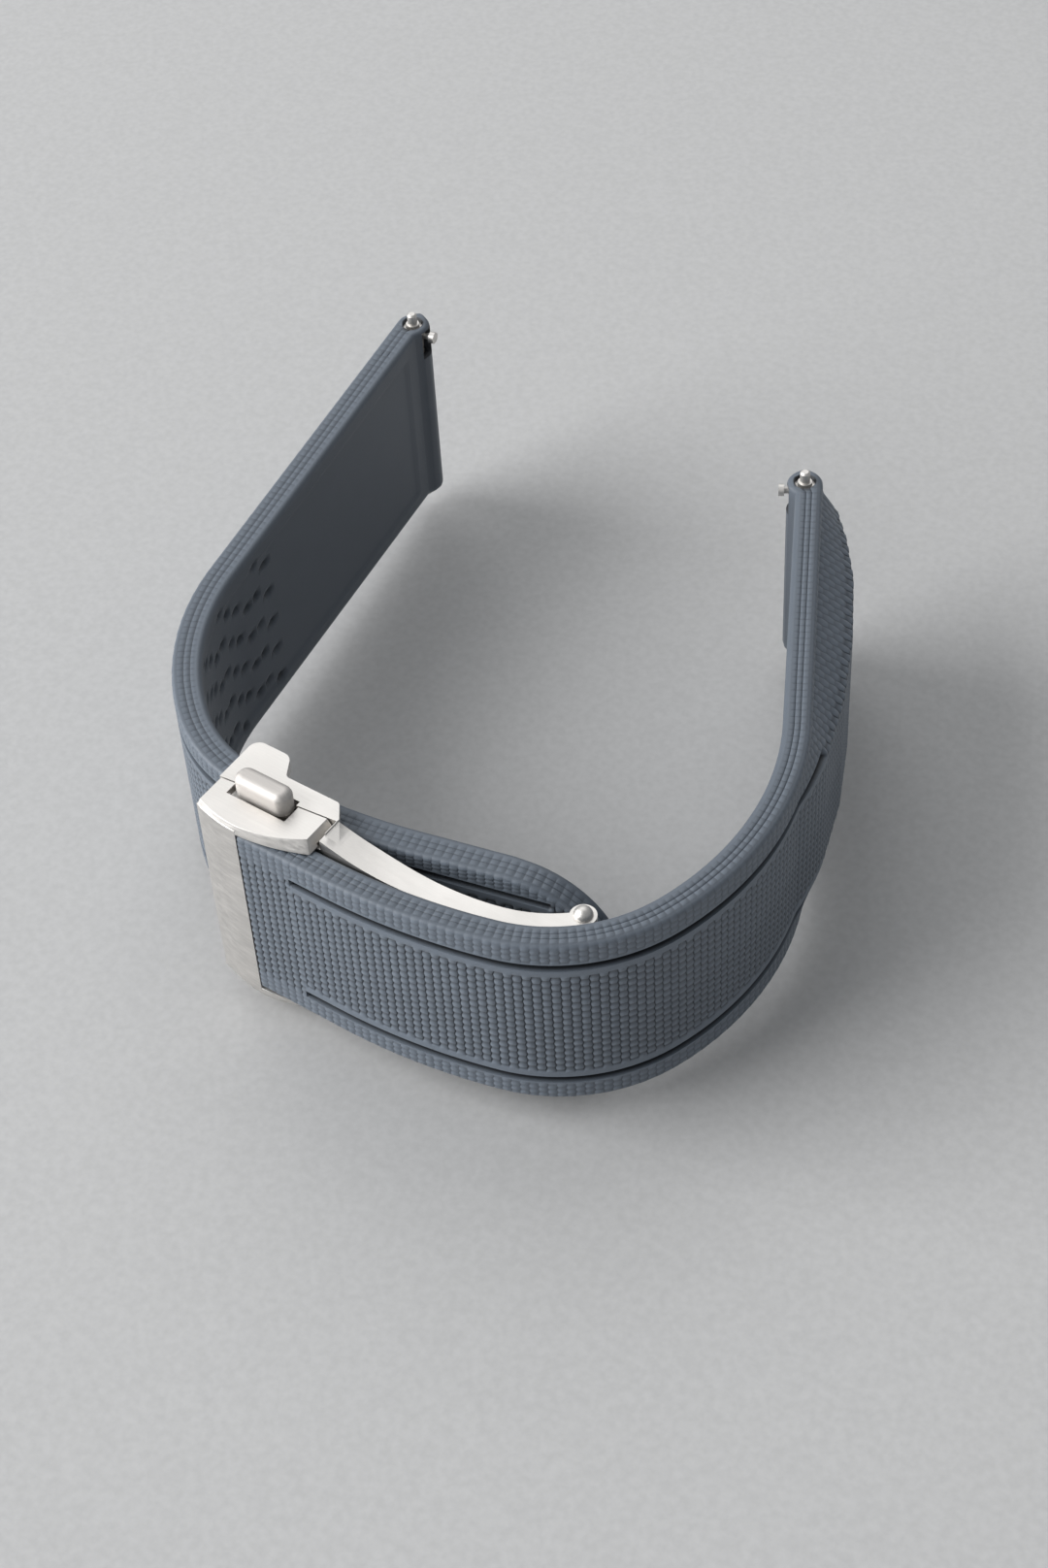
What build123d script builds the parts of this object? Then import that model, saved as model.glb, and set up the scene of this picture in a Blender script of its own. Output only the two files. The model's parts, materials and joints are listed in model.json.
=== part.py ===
from build123d import *

import os
from dataclasses import dataclass
from math import asin, cos, degrees, radians, sin

# A rubber dive strap, closed and standing on its edge.
# The origin lies midway between the two lug bars, at the middle of the strap's width.
# +X points to the lug bar of the short half, +Y to the watch and +Z along the lug bars.
# All lengths are in millimetres.

# Lug bars and straps
LUG_BAR_SPACING = 43.0          # from one lug bar to the other
LUG_WIDTH = 20.0                # the gap between a pair of lugs, which the strap fills
LUG_END_RADIUS = 1.6            # rounded end of the rubber round its bar

SHORT_THICKNESS = 2.4
SHORT_CLASP_WIDTH = 19.0
SHORT_LUG_HEADING = 119.0       # direction of the short half where it reaches its lug
SHORT_CLASP_RADIUS = 57.0       # the three bends of the short half, from the clasp up
SHORT_CLASP_TURN = 15.0
SHORT_WRIST_RADIUS = 16.0
SHORT_WRIST_TURN = 55.0
SHORT_SIDE_RADIUS = 28.0
SHORT_SIDE_TURN = 49.0

TAIL_THICKNESS = 2.6
TAIL_CLASP_WIDTH = 18.1
TAIL_LUG_HEADING = -80.5        # direction in which the tail leaves its lug
TAIL_SIDE_RADIUS = 25.0         # the two bends of the tail, from the lug down
TAIL_SIDE_TURN = 42.5
TAIL_WRIST_RADIUS = 15.6
TAIL_WRIST_TURN = 38.0
TAIL_SEAT_RADIUS = 60.0         # gentle bend where the tail lies in the clasp
TAIL_SEAT_TURN = 13.0
TAIL_END_LENGTH = 17.0          # straight free end past the clasp

GROOVE_WIDTH = 0.45
GROOVE_DEPTH = 0.35
GROOVE_OFFSET = 7.0             # from the middle of the strap to the middle of a groove
GROOVE_START = 5.0              # the grooves begin this far from the clasp cover

CROWN_FOOT = 1.1                # foot of the raised panel, in from the strap's edge
CROWN_SLOPE = 2.3               # how far in its side walls lean over their height
CROWN_HEIGHT = 3.1
CROWN_LENGTH = 36.0             # from the lug down to where it has died away
CROWN_SHARES = (                # share of the length, share of the height
    (0.0, 0.45),
    (0.1, 0.74),
    (0.24, 0.97),
    (0.45, 1.0),
    (0.65, 0.84),
    (0.83, 0.45),
    (1.0, 0.02),
)

SIZING_HOLE_RADIUS = 1.1
SIZING_HOLE_PITCH = 5.0
SIZING_HOLES_BEFORE = 2         # towards the lug from the hole in use
SIZING_HOLES_AFTER = 3          # towards the tip

# Clasp: its place and its layers, from the outside to the wrist
CLASP_JOINT_X = 4.9             # where the rubber of the short half begins
CLASP_OUTER_Y = -59.95          # outer face of the short half at the clasp
BLADE_GAP = 0.2                 # clearance either side of the folded inner blade
BLADE_THICKNESS = 1.1
FLOOR_THICKNESS = 0.85
SEAT_GAP = 0.1                  # clearance under the tail
SEAT_BEND_X = 4.0               # where the tail begins its gentle bend in the clasp

CLASP_SIDE_PLAY = 0.35          # between the tail's edge and the frame's side wall
SIDE_GAP = 0.1                  # running gap between neighbouring walls
FRAME_WALL = 1.2
COVER_WALL = 0.75
FRAME_LEFT = 0.4
FRAME_FLOOR_RIGHT = 12.2
FRAME_WALL_RIGHT = 10.4         # where the side wall turns down to the rails
FRAME_FOOT_RIGHT = 12.8

# Seam between the cover and the frame
SEAM_LEFT_DROP = 0.1            # its left end lies this far outside the frame's floor
SEAM_RIGHT_X = 11.4
SEAM_RISE = 1.1                 # and its right end this much nearer the wrist

# Blades and their pins
BLADE_HALF_WIDTH = 5.0
BLADE_WAIST = 0.7               # how much the inner blade narrows on each side
WINDOW_HALF_WIDTH = 5.2
RAIL_THICKNESS = 1.5
RAIL_ROOT_X = 9.6
RAIL_SHOULDER = 0.2             # the rails are this much narrower than the clasp, on each side
RAIL_TAPER = 1.8                # and narrow by this much on each side to their waist
RAIL_WAIST_X = 22.0
FAR_PIN_HEADING = 44.0          # how far round the bend the far hinge sits
FAR_PIN_RADIUS = 0.55
FAR_EYE_RADIUS = 1.1
FAR_BALL_RADIUS = 0.8
COVER_PIN_X = 1.7
COVER_PIN_DEPTH = 0.05          # centre of the cover's pin under the blade's outer face
COVER_PIN_RADIUS = 0.5
COVER_EYE_RADIUS = 0.95
COVER_LUG_RADIUS = 1.0
COVER_LUG_WIDTH = 1.1
RUNNING_FIT = 0.04              # radial clearance of a pin that turns
SEATED_FIT = 0.01               # radial clearance of a piece that is fixed in its seat

# Cover
PLATE_LEFT = 0.3
PLATE_THICKNESS = 0.95
PLATE_LEFT_DROP = 0.8           # the plate's outer face bows back by this at its left end
ARM_RIGHT = 11.2
ARM_TIP_DROP = 1.5              # the lip has curved back by this at the arm's end
ARM_TOP_INSET = 0.6             # the arm's flat is shorter than its lip
ARM_TOP_DROP_SHARE = 1.4        # and curves back faster
LIP_DEPTH = 0.2                 # how far the lip reaches over the rubber
STRAP_BAR_X = 6.6
STRAP_BAR_RADIUS = 0.6
STRAP_BAR_SEAT = 0.4            # how far its ends go into the arms

# Pushers
PUSHER_CAP_LENGTH = 5.3
PUSHER_CAP_LEFT = 2.3
PUSHER_CAP_HEIGHT = 2.0
PUSHER_CAP_PROUD = 1.8
PUSHER_CAP_SUNK = 0.3
PUSHER_CAP_BACK = 0.35          # the cap starts this far inside the blade's outer side
PUSHER_CAP_ROUND = 0.6
PUSHER_TRAVEL = 0.8
NOTCH_GAP = 0.3                 # play between the cap and its notch in the cover
BLOCK_LEFT = 3.1
BLOCK_HEIGHT = 0.95
BLOCK_WALL = 0.4
PUSHER_STEM_LEFT = 3.9
PUSHER_STEM_WIDTH = 3.0
PUSHER_STEM_HEIGHT = 0.8
PUSHER_NECK_WIDTH = 1.9
PUSHER_WING_DEPTH = 0.8
PUSHER_SLIDE_GAP = 0.05
HOOK_WIDTH = 0.6
HOOK_NOSE = 0.45
HOOK_REACH = 0.2
CATCH_THICKNESS = 0.4
CATCH_DEPTH = 0.45
PLATE_RIVET_RADIUS = 0.4
PLATE_RIVET_LENGTH = 0.9
PLATE_RIVET_X = 8.2

# Tail fastening
KEEPER_LEFT = 1.2
KEEPER_WIDTH = 2.2
KEEPER_THICKNESS = 0.65
KEEPER_TENON = 0.5
PEG_RADIUS = 0.85
PEG_SHANK_RADIUS = 0.5
PEG_ARC = 4.0                   # along the seat bend from its start
TAB_HEIGHT = 1.15               # top of the frame's tab above the tail's wrist side
WALL_TOP = 0.85                 # the frame's wall stops this far below the tail's wrist side

# Lug bars
TUBE_RADIUS = 0.9
TUBE_BORE_RADIUS = 0.65
TUBE_END_GAP = 0.4              # the tube ends this far inside the strap's edge
STRAP_TUNNEL_GAP = 0.05
TIP_RADIUS = 0.45
TIP_BODY_RADIUS = 0.62
TIP_REACH = 1.1                 # past the strap's edge, into the lug
RELEASE_TRAVEL = 1.4
RELEASE_BODY_LENGTH = 3.6       # of the wide part inside the tube
FIXED_BODY_LENGTH = 11.1
KNOB_DEPTH = 1.1                # below the strap's edge
KNOB_STEM_RADIUS = 0.3
KNOB_HEAD_RADIUS = 0.55
KNOB_HEAD_THICKNESS = 0.5
KNOB_SLOT_WIDTH = 0.8
KNOB_WINDOW_WIDTH = 1.6
KNOB_PLAY = 0.2

# Springs
BAR_SPRING_RADIUS = 0.42
BAR_SPRING_WIRE = 0.08
BAR_SPRING_TURNS = 4
PUSHER_SPRING_RADIUS = 0.3
PUSHER_SPRING_WIRE = 0.08
PUSHER_SPRING_TURNS = 3

EDGE_BREAK = 0.15
OVERRUN = 1.0                   # how far a cutting tool runs past what it cuts
REACH = 100.0                   # longer than the whole strap, for tools that cross it

SHORT_BENDS = (
    (SHORT_CLASP_RADIUS, SHORT_CLASP_TURN),
    (SHORT_WRIST_RADIUS, SHORT_WRIST_TURN),
    (SHORT_SIDE_RADIUS, SHORT_SIDE_TURN),
)
TAIL_BENDS = ((TAIL_SIDE_RADIUS, TAIL_SIDE_TURN), (TAIL_WRIST_RADIUS, TAIL_WRIST_TURN))
LUG_HALF_WIDTH = LUG_WIDTH / 2
SHORT_BAR = Vector(LUG_BAR_SPACING / 2, 0)
TAIL_BAR = Vector(-LUG_BAR_SPACING / 2, 0)


def toward(heading):
    """Unit vector in the strap's plan along a heading in degrees."""
    return Vector(cos(radians(heading)), sin(radians(heading)))


def wristward(heading):
    """Unit vector from the outer face to the wrist side, left of the heading."""
    return Vector(-sin(radians(heading)), cos(radians(heading)))


@dataclass(frozen=True)
class Run:
    """One straight or one bend of a strap, measured on its outer face."""

    length: float
    radius: float = 0.0
    turn: float = 0.0


def bend(radius, turn):
    """A bend that turns towards the wrist side."""
    return Run(radius * radians(turn), radius, turn)


@dataclass(frozen=True)
class Route:
    """The outer face of a strap in plan, as straights and bends end to end."""

    start: Vector
    heading: float
    runs: tuple

    def at(self, distance):
        """Point on the outer face and heading there, so far along the route."""
        point, heading, left = self.start, self.heading, distance
        for run in self.runs:
            step = left if run is self.runs[-1] else min(left, run.length)
            if run.turn:
                turned = degrees(step / run.radius)
                centre = point + wristward(heading) * run.radius
                heading += turned
                point = centre - wristward(heading) * run.radius
            else:
                point = point + toward(heading) * step
            left -= step
            if left <= 0:
                break
        return point, heading

    def inside(self, distance, depth):
        """Point so far along the route and so deep under the outer face."""
        point, heading = self.at(distance)
        return point + wristward(heading) * depth

    @property
    def length(self):
        return sum(run.length for run in self.runs)

    def between(self, first, last):
        """The stretch of this route between two distances along it."""
        start, heading = self.at(first)
        kept = []
        walked = 0
        for run in self.runs:
            length = min(last - walked, run.length) - max(first - walked, 0)
            if length > 0:
                kept.append(bend(run.radius, degrees(length / run.radius)) if run.turn else Run(length))
            walked += run.length
        return Route(start, heading, tuple(kept))

    def draw(self, depth):
        """Draw the line that lies so deep under the outer face."""
        heading = self.heading
        point = self.start + wristward(heading) * depth
        lines = []
        for run in self.runs:
            if run.turn:
                line = JernArc(point, toward(heading), run.radius - depth, run.turn)
            else:
                line = PolarLine(point, run.length, heading)
            point = line @ 1
            heading += run.turn
            lines.append(line)
        return lines

    def draw_band(self, outer, inner):
        """Draw the closed outline between two depths."""
        near = self.draw(outer)
        far = self.draw(inner)
        Line(near[0] @ 0, far[0] @ 0)
        Line(near[-1] @ 1, far[-1] @ 1)


def straights_between(start, end, heading, bends, last_heading):
    """Lengths of the first and last straights that leave the given bends between two points."""
    across = Vector(0, 0)
    turned = heading
    for radius, turn in bends:
        across += (wristward(turned) - wristward(turned + turn)) * radius
        turned += turn
    rest = end - start - across
    first, last = toward(heading), toward(last_heading)
    spread = first.X * last.Y - first.Y * last.X
    return (rest.X * last.Y - rest.Y * last.X) / spread, (first.X * rest.Y - first.Y * rest.X) / spread


# The short half, from the clasp cover round to its lug bar
short_start = Vector(CLASP_JOINT_X, CLASP_OUTER_Y)
short_end = SHORT_BAR - wristward(SHORT_LUG_HEADING) * LUG_END_RADIUS
short_clasp_run, short_lug_run = straights_between(
    short_start, short_end, 0, SHORT_BENDS, SHORT_LUG_HEADING
)
short_route = Route(
    short_start,
    0,
    (Run(short_clasp_run), *(bend(*b) for b in SHORT_BENDS), Run(short_lug_run)),
)

# Layers of the folded clasp, from the outer face of the short half inwards
BLADE_OUTER_Y = CLASP_OUTER_Y + SHORT_THICKNESS + BLADE_GAP
BLADE_INNER_Y = BLADE_OUTER_Y + BLADE_THICKNESS
FLOOR_OUTER_Y = BLADE_INNER_Y + BLADE_GAP
FLOOR_INNER_Y = FLOOR_OUTER_Y + FLOOR_THICKNESS
SEAM_LEFT_Y = FLOOR_OUTER_Y - SEAM_LEFT_DROP
SEAM_RIGHT_Y = SEAM_LEFT_Y + SEAM_RISE
COVER_PIN_Y = BLADE_OUTER_Y + COVER_PIN_DEPTH
SEAT_Y = FLOOR_INNER_Y + SEAT_GAP
TAIL_INNER_Y = SEAT_Y + TAIL_THICKNESS
RAIL_DEPTH = SHORT_THICKNESS + BLADE_GAP

# The tail half, from its lug bar round to the clasp and on to its free end
tail_start = TAIL_BAR - wristward(TAIL_LUG_HEADING) * LUG_END_RADIUS
tail_seat = Vector(SEAT_BEND_X, SEAT_Y)
tail_lug_run, tail_clasp_run = straights_between(
    tail_start, tail_seat, TAIL_LUG_HEADING, TAIL_BENDS, 0
)
tail_route = Route(
    tail_start,
    TAIL_LUG_HEADING,
    (
        Run(tail_lug_run),
        *(bend(*b) for b in TAIL_BENDS),
        Run(tail_clasp_run),
        bend(TAIL_SEAT_RADIUS, TAIL_SEAT_TURN),
        Run(TAIL_END_LENGTH),
    ),
)
seat_distance = tail_route.length - TAIL_END_LENGTH - bend(TAIL_SEAT_RADIUS, TAIL_SEAT_TURN).length
peg_distance = seat_distance + PEG_ARC
tail_tip, tail_heading = tail_route.at(tail_route.length)

# The rails and the inner blade lie against the short half as far as the far hinge
far_turn = FAR_PIN_HEADING - SHORT_BENDS[0][1]
blade_bends = (bend(*SHORT_BENDS[0]), bend(SHORT_BENDS[1][0], far_turn))
rail_route = Route(
    Vector(RAIL_ROOT_X, CLASP_OUTER_Y),
    0,
    (Run(CLASP_JOINT_X + short_clasp_run - RAIL_ROOT_X), *blade_bends),
)
blade_route = Route(
    Vector(COVER_PIN_X, CLASP_OUTER_Y),
    0,
    (Run(CLASP_JOINT_X + short_clasp_run - COVER_PIN_X), *blade_bends),
)
far_pin = blade_route.inside(blade_route.length, RAIL_DEPTH + FAR_EYE_RADIUS)
cover_pin = Vector(COVER_PIN_X, COVER_PIN_Y)

# Heights above the middle plane that several pieces share
FRAME_INNER_HALF = TAIL_CLASP_WIDTH / 2 + CLASP_SIDE_PLAY
CLASP_HALF_WIDTH = FRAME_INNER_HALF + FRAME_WALL
RAIL_HALF_WIDTH = CLASP_HALF_WIDTH - RAIL_SHOULDER
RAIL_END_HALF_WIDTH = CLASP_HALF_WIDTH - RAIL_TAPER
ARM_INNER_HALF = CLASP_HALF_WIDTH - COVER_WALL
BLOCK_OUTER_HALF = FRAME_INNER_HALF - SIDE_GAP / 2
COVER_LUG_INNER = BLADE_HALF_WIDTH + SIDE_GAP + PUSHER_SLIDE_GAP
COVER_LUG_OUTER = COVER_LUG_INNER + COVER_LUG_WIDTH
CAP_INNER = CLASP_HALF_WIDTH - PUSHER_CAP_SUNK
WING_OUTER = BLOCK_OUTER_HALF - BLOCK_WALL - 3 * PUSHER_SLIDE_GAP
WING_INNER = WING_OUTER - PUSHER_WING_DEPTH
BAY_INNER = WINDOW_HALF_WIDTH + BLOCK_WALL
CHANNEL_OUTER_Y = FLOOR_OUTER_Y - BLOCK_HEIGHT
CHANNEL_INNER_Y = FLOOR_OUTER_Y - PUSHER_SLIDE_GAP
STEM_INNER_Y = CHANNEL_INNER_Y - PUSHER_SLIDE_GAP
CAP_OUTER_Y = BLADE_OUTER_Y + PUSHER_CAP_BACK
CAP_INNER_Y = CAP_OUTER_Y + PUSHER_CAP_HEIGHT
NOTCH_OUTER_Y = CAP_OUTER_Y - NOTCH_GAP
CATCH_INNER_Y = BLADE_OUTER_Y - NOTCH_GAP - 2 * PUSHER_SLIDE_GAP
CATCH_OUTER_Y = CATCH_INNER_Y - CATCH_THICKNESS
HOOK_INNER_Y = CATCH_OUTER_Y - PUSHER_SLIDE_GAP
HOOK_OUTER_Y = HOOK_INNER_Y - HOOK_NOSE
SIDES = (1, -1)                 # above and below the middle plane


def taper_outline(clasp_width, clasp_y):
    """Draw the strap's width, seen along X: wide at the lugs and narrow at the clasp."""
    slope = (LUG_WIDTH - clasp_width) / 2 / -clasp_y
    top_y = LUG_END_RADIUS * 2
    low_y = clasp_y - OVERRUN
    top = LUG_HALF_WIDTH
    low = LUG_HALF_WIDTH + slope * low_y
    Polyline((top_y, top), (0, top), (low_y, low), (low_y, -low), (0, -top), (top_y, -top), close=True)


def bar_plane(bar, heading, height=0.0):
    """Plane across a lug bar whose X axis points to the wrist side."""
    return Plane(origin=bar + Vector(0, 0, height), x_dir=wristward(heading), z_dir=(0, 0, 1))


short_bar_plane = bar_plane(SHORT_BAR, SHORT_LUG_HEADING)
tail_bar_plane = bar_plane(TAIL_BAR, TAIL_LUG_HEADING)
window_top = LUG_HALF_WIDTH - KNOB_DEPTH + KNOB_HEAD_RADIUS + KNOB_PLAY
window_low = LUG_HALF_WIDTH - KNOB_DEPTH - RELEASE_TRAVEL - KNOB_HEAD_RADIUS - KNOB_PLAY


# Short half of the strap
short_groove = short_route.between(GROOVE_START, short_route.length - CROWN_LENGTH)
with BuildPart() as short_strap:
    with BuildSketch():
        with BuildLine():
            short_route.draw_band(0, SHORT_THICKNESS)
        make_face()
        with Locations(short_bar_plane.location):
            Circle(LUG_END_RADIUS)
    extrude(amount=LUG_HALF_WIDTH, both=True)
    with BuildSketch(Plane.YZ):
        with BuildLine():
            taper_outline(SHORT_CLASP_WIDTH, CLASP_OUTER_Y)
        make_face()
    extrude(amount=REACH, both=True, mode=Mode.INTERSECT)
    # Raised panel with sloping side walls, which dies away towards the clasp
    for along, height_share in CROWN_SHARES:
        crown_point, crown_heading = short_route.at(short_route.length - CROWN_LENGTH * along)
        crown_plane = Plane(origin=crown_point, x_dir=(0, 0, 1), z_dir=toward(crown_heading))
        foot = LUG_HALF_WIDTH - CROWN_FOOT
        rise = CROWN_HEIGHT * height_share
        with BuildSketch(crown_plane):
            with BuildLine():
                Polyline(
                    (foot, -SHORT_THICKNESS / 2),
                    (foot, 0),
                    (foot - CROWN_SLOPE, rise),
                    (-foot + CROWN_SLOPE, rise),
                    (-foot, 0),
                    (-foot, -SHORT_THICKNESS / 2),
                    close=True,
                )
            make_face()
    loft()
    # Pair of grooves along the outer face
    for side in SIDES:
        with BuildSketch(Plane.XY.offset(side * GROOVE_OFFSET - GROOVE_WIDTH / 2)):
            with BuildLine():
                short_groove.draw_band(-GROOVE_DEPTH, GROOVE_DEPTH)
            make_face()
        extrude(amount=GROOVE_WIDTH, mode=Mode.SUBTRACT)
    # Tunnels for the lug bar and for the bar in the clasp cover
    with BuildSketch():
        with Locations(short_bar_plane.location):
            Circle(TUBE_RADIUS + STRAP_TUNNEL_GAP)
        with Locations((STRAP_BAR_X, CLASP_OUTER_Y + SHORT_THICKNESS / 2)):
            Circle(STRAP_BAR_RADIUS + STRAP_TUNNEL_GAP)
    extrude(amount=REACH, both=True, mode=Mode.SUBTRACT)
    # Window for the release knob
    with BuildSketch(bar_plane(SHORT_BAR, SHORT_LUG_HEADING, window_low)):
        with Locations((LUG_END_RADIUS, 0)):
            Rectangle(2 * LUG_END_RADIUS, KNOB_WINDOW_WIDTH)
    extrude(amount=window_top - window_low, mode=Mode.SUBTRACT)

# Tail half of the strap
tip_plane = Plane(
    origin=tail_tip, x_dir=toward(tail_heading), z_dir=wristward(tail_heading) * -1
)
tail_tip_half = TAIL_CLASP_WIDTH / 2
tail_groove = tail_route.between(GROOVE_START, tail_route.length - tail_tip_half)
with BuildPart() as tail_strap:
    with BuildSketch():
        with BuildLine():
            tail_route.draw_band(0, TAIL_THICKNESS)
        make_face()
        with Locations(tail_bar_plane.location):
            Circle(LUG_END_RADIUS)
    extrude(amount=LUG_HALF_WIDTH, both=True)
    with BuildSketch(Plane.YZ):
        with BuildLine():
            taper_outline(TAIL_CLASP_WIDTH, SEAT_Y)
        make_face()
    extrude(amount=REACH, both=True, mode=Mode.INTERSECT)
    # Round end, as wide as the strap
    with BuildSketch(tip_plane):
        with Locations((-tail_tip_half - REACH / 2, 0)):
            Rectangle(REACH, LUG_WIDTH + OVERRUN)
        with Locations((-tail_tip_half, 0)):
            Circle(tail_tip_half)
    extrude(amount=REACH, both=True, mode=Mode.INTERSECT)
    # Grooves, which follow the round end
    for side in SIDES:
        with BuildSketch(Plane.XY.offset(side * GROOVE_OFFSET - GROOVE_WIDTH / 2)):
            with BuildLine():
                tail_groove.draw_band(-GROOVE_DEPTH, GROOVE_DEPTH)
            make_face()
        extrude(amount=GROOVE_WIDTH, mode=Mode.SUBTRACT)
    with BuildSketch(tip_plane):
        with Locations((-tail_tip_half, 0)):
            Circle(GROOVE_OFFSET + GROOVE_WIDTH / 2)
            Circle(GROOVE_OFFSET - GROOVE_WIDTH / 2, mode=Mode.SUBTRACT)
        with Locations((-tail_tip_half - LUG_WIDTH / 2, 0)):
            Rectangle(LUG_WIDTH, LUG_WIDTH, mode=Mode.SUBTRACT)
    extrude(amount=-GROOVE_DEPTH, mode=Mode.SUBTRACT)
    # Row of sizing holes; the clasp's peg sits in one of them
    for place in range(-SIZING_HOLES_BEFORE, SIZING_HOLES_AFTER + 1):
        hole_point, hole_heading = tail_route.at(peg_distance + place * SIZING_HOLE_PITCH)
        with Locations(Plane(origin=hole_point, z_dir=wristward(hole_heading) * -1)):
            Hole(SIZING_HOLE_RADIUS, depth=TAIL_THICKNESS + OVERRUN)
    with BuildSketch():
        with Locations(tail_bar_plane.location):
            Circle(TUBE_RADIUS + STRAP_TUNNEL_GAP)
    extrude(amount=REACH, both=True, mode=Mode.SUBTRACT)
    with BuildSketch(bar_plane(TAIL_BAR, TAIL_LUG_HEADING, window_low)):
        with Locations((LUG_END_RADIUS, 0)):
            Rectangle(2 * LUG_END_RADIUS, KNOB_WINDOW_WIDTH)
    extrude(amount=window_top - window_low, mode=Mode.SUBTRACT)

# Outer blade with the centre frame: floor, side walls, pusher housings, rails and far knuckles
rail_middle_y = CLASP_OUTER_Y + RAIL_DEPTH + RAIL_THICKNESS / 2
tab_top_y = TAIL_INNER_Y + TAB_HEIGHT
wall_top_y = TAIL_INNER_Y - WALL_TOP
floor_arc = degrees(asin((FRAME_FLOOR_RIGHT - SEAT_BEND_X) / (TAIL_SEAT_RADIUS + SEAT_GAP)))
keeper_right = KEEPER_LEFT + KEEPER_WIDTH
keeper_outer_y = TAIL_INNER_Y + SEAT_GAP
keeper_inner_y = keeper_outer_y + KEEPER_THICKNESS
stem_right = PUSHER_STEM_LEFT + PUSHER_STEM_WIDTH
stem_middle = PUSHER_STEM_LEFT + PUSHER_STEM_WIDTH / 2
tab_left = FRAME_LEFT - SIDE_GAP / 2
tab_right = keeper_right + COVER_PIN_RADIUS
peg_point, peg_heading = tail_route.at(peg_distance)
peg_plane = Plane(origin=peg_point, z_dir=wristward(peg_heading))
with BuildPart() as clasp_frame:
    # Floor, curved to the tail that lies on it
    with BuildSketch():
        with BuildLine():
            floor_left = Polyline(
                (SEAT_BEND_X, FLOOR_INNER_Y),
                (FRAME_LEFT, FLOOR_INNER_Y),
                (FRAME_LEFT, FLOOR_OUTER_Y),
                (FRAME_FLOOR_RIGHT, FLOOR_OUTER_Y),
            )
            floor_bed = JernArc(
                (SEAT_BEND_X, FLOOR_INNER_Y), (1, 0), TAIL_SEAT_RADIUS + SEAT_GAP, floor_arc
            )
            Line(floor_bed @ 1, floor_left @ 1)
        make_face()
    extrude(amount=FRAME_INNER_HALF, both=True)
    # Side walls with their rounded tabs
    for side in SIDES:
        with BuildSketch(Plane.XY.offset(side * (CLASP_HALF_WIDTH + FRAME_INNER_HALF) / 2)):
            with BuildLine():
                Polyline(
                    (FRAME_LEFT, SEAM_LEFT_Y),
                    (SEAM_RIGHT_X, SEAM_RIGHT_Y),
                    (SEAM_RIGHT_X, rail_middle_y),
                    (FRAME_FOOT_RIGHT, rail_middle_y),
                    (FRAME_WALL_RIGHT, wall_top_y),
                    (tab_right + COVER_LUG_WIDTH, wall_top_y),
                    (tab_right, tab_top_y),
                    (tab_left, tab_top_y),
                    close=True,
                )
            make_face()
            fillet(
                [v for v in vertices() if v.Y > wall_top_y + SIDE_GAP],
                radius=COVER_EYE_RADIUS,
            )
            fillet(
                [v for v in vertices() if abs(v.Y - wall_top_y) < SIDE_GAP / 2 and v.X > tab_right],
                radius=COVER_PIN_RADIUS,
            )
        extrude(amount=FRAME_WALL / 2, both=True)
    # Notches in the walls for the inner part of the pusher caps
    for side in SIDES:
        with BuildSketch(Plane.XY.offset(side * FRAME_INNER_HALF)):
            with Locations(
                (PUSHER_CAP_LEFT + PUSHER_CAP_LENGTH / 2, CAP_INNER_Y - PUSHER_CAP_HEIGHT / 2)
            ):
                Rectangle(
                    PUSHER_CAP_LENGTH + 2 * PUSHER_SLIDE_GAP,
                    PUSHER_CAP_HEIGHT + 2 * PUSHER_SLIDE_GAP,
                )
        extrude(amount=side * (FRAME_WALL + OVERRUN), mode=Mode.SUBTRACT)
    # Rails, which follow the short half and narrow to a waist
    with BuildPart(mode=Mode.PRIVATE) as rails:
        with BuildSketch():
            with BuildLine():
                rail_route.draw_band(RAIL_DEPTH, RAIL_DEPTH + RAIL_THICKNESS)
            make_face()
            with Locations(far_pin):
                Circle(FAR_EYE_RADIUS)
        extrude(amount=CLASP_HALF_WIDTH, both=True)
        with BuildSketch(Plane.XZ):
            for side in SIDES:
                with BuildLine():
                    waist = TangentArc(
                        (RAIL_WAIST_X, side * RAIL_END_HALF_WIDTH),
                        (SEAM_RIGHT_X, side * RAIL_HALF_WIDTH),
                        tangent=(-1, 0),
                    )
                    Polyline(
                        waist @ 1,
                        (SEAM_RIGHT_X, side * BLOCK_OUTER_HALF),
                        (RAIL_ROOT_X, side * BLOCK_OUTER_HALF),
                        (RAIL_ROOT_X, side * WINDOW_HALF_WIDTH),
                        (far_pin.X + 2 * FAR_EYE_RADIUS, side * WINDOW_HALF_WIDTH),
                        (far_pin.X + 2 * FAR_EYE_RADIUS, side * RAIL_END_HALF_WIDTH),
                        waist @ 0,
                    )
                make_face()
        extrude(amount=REACH, both=True, mode=Mode.INTERSECT)
    add(rails.part)
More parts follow.
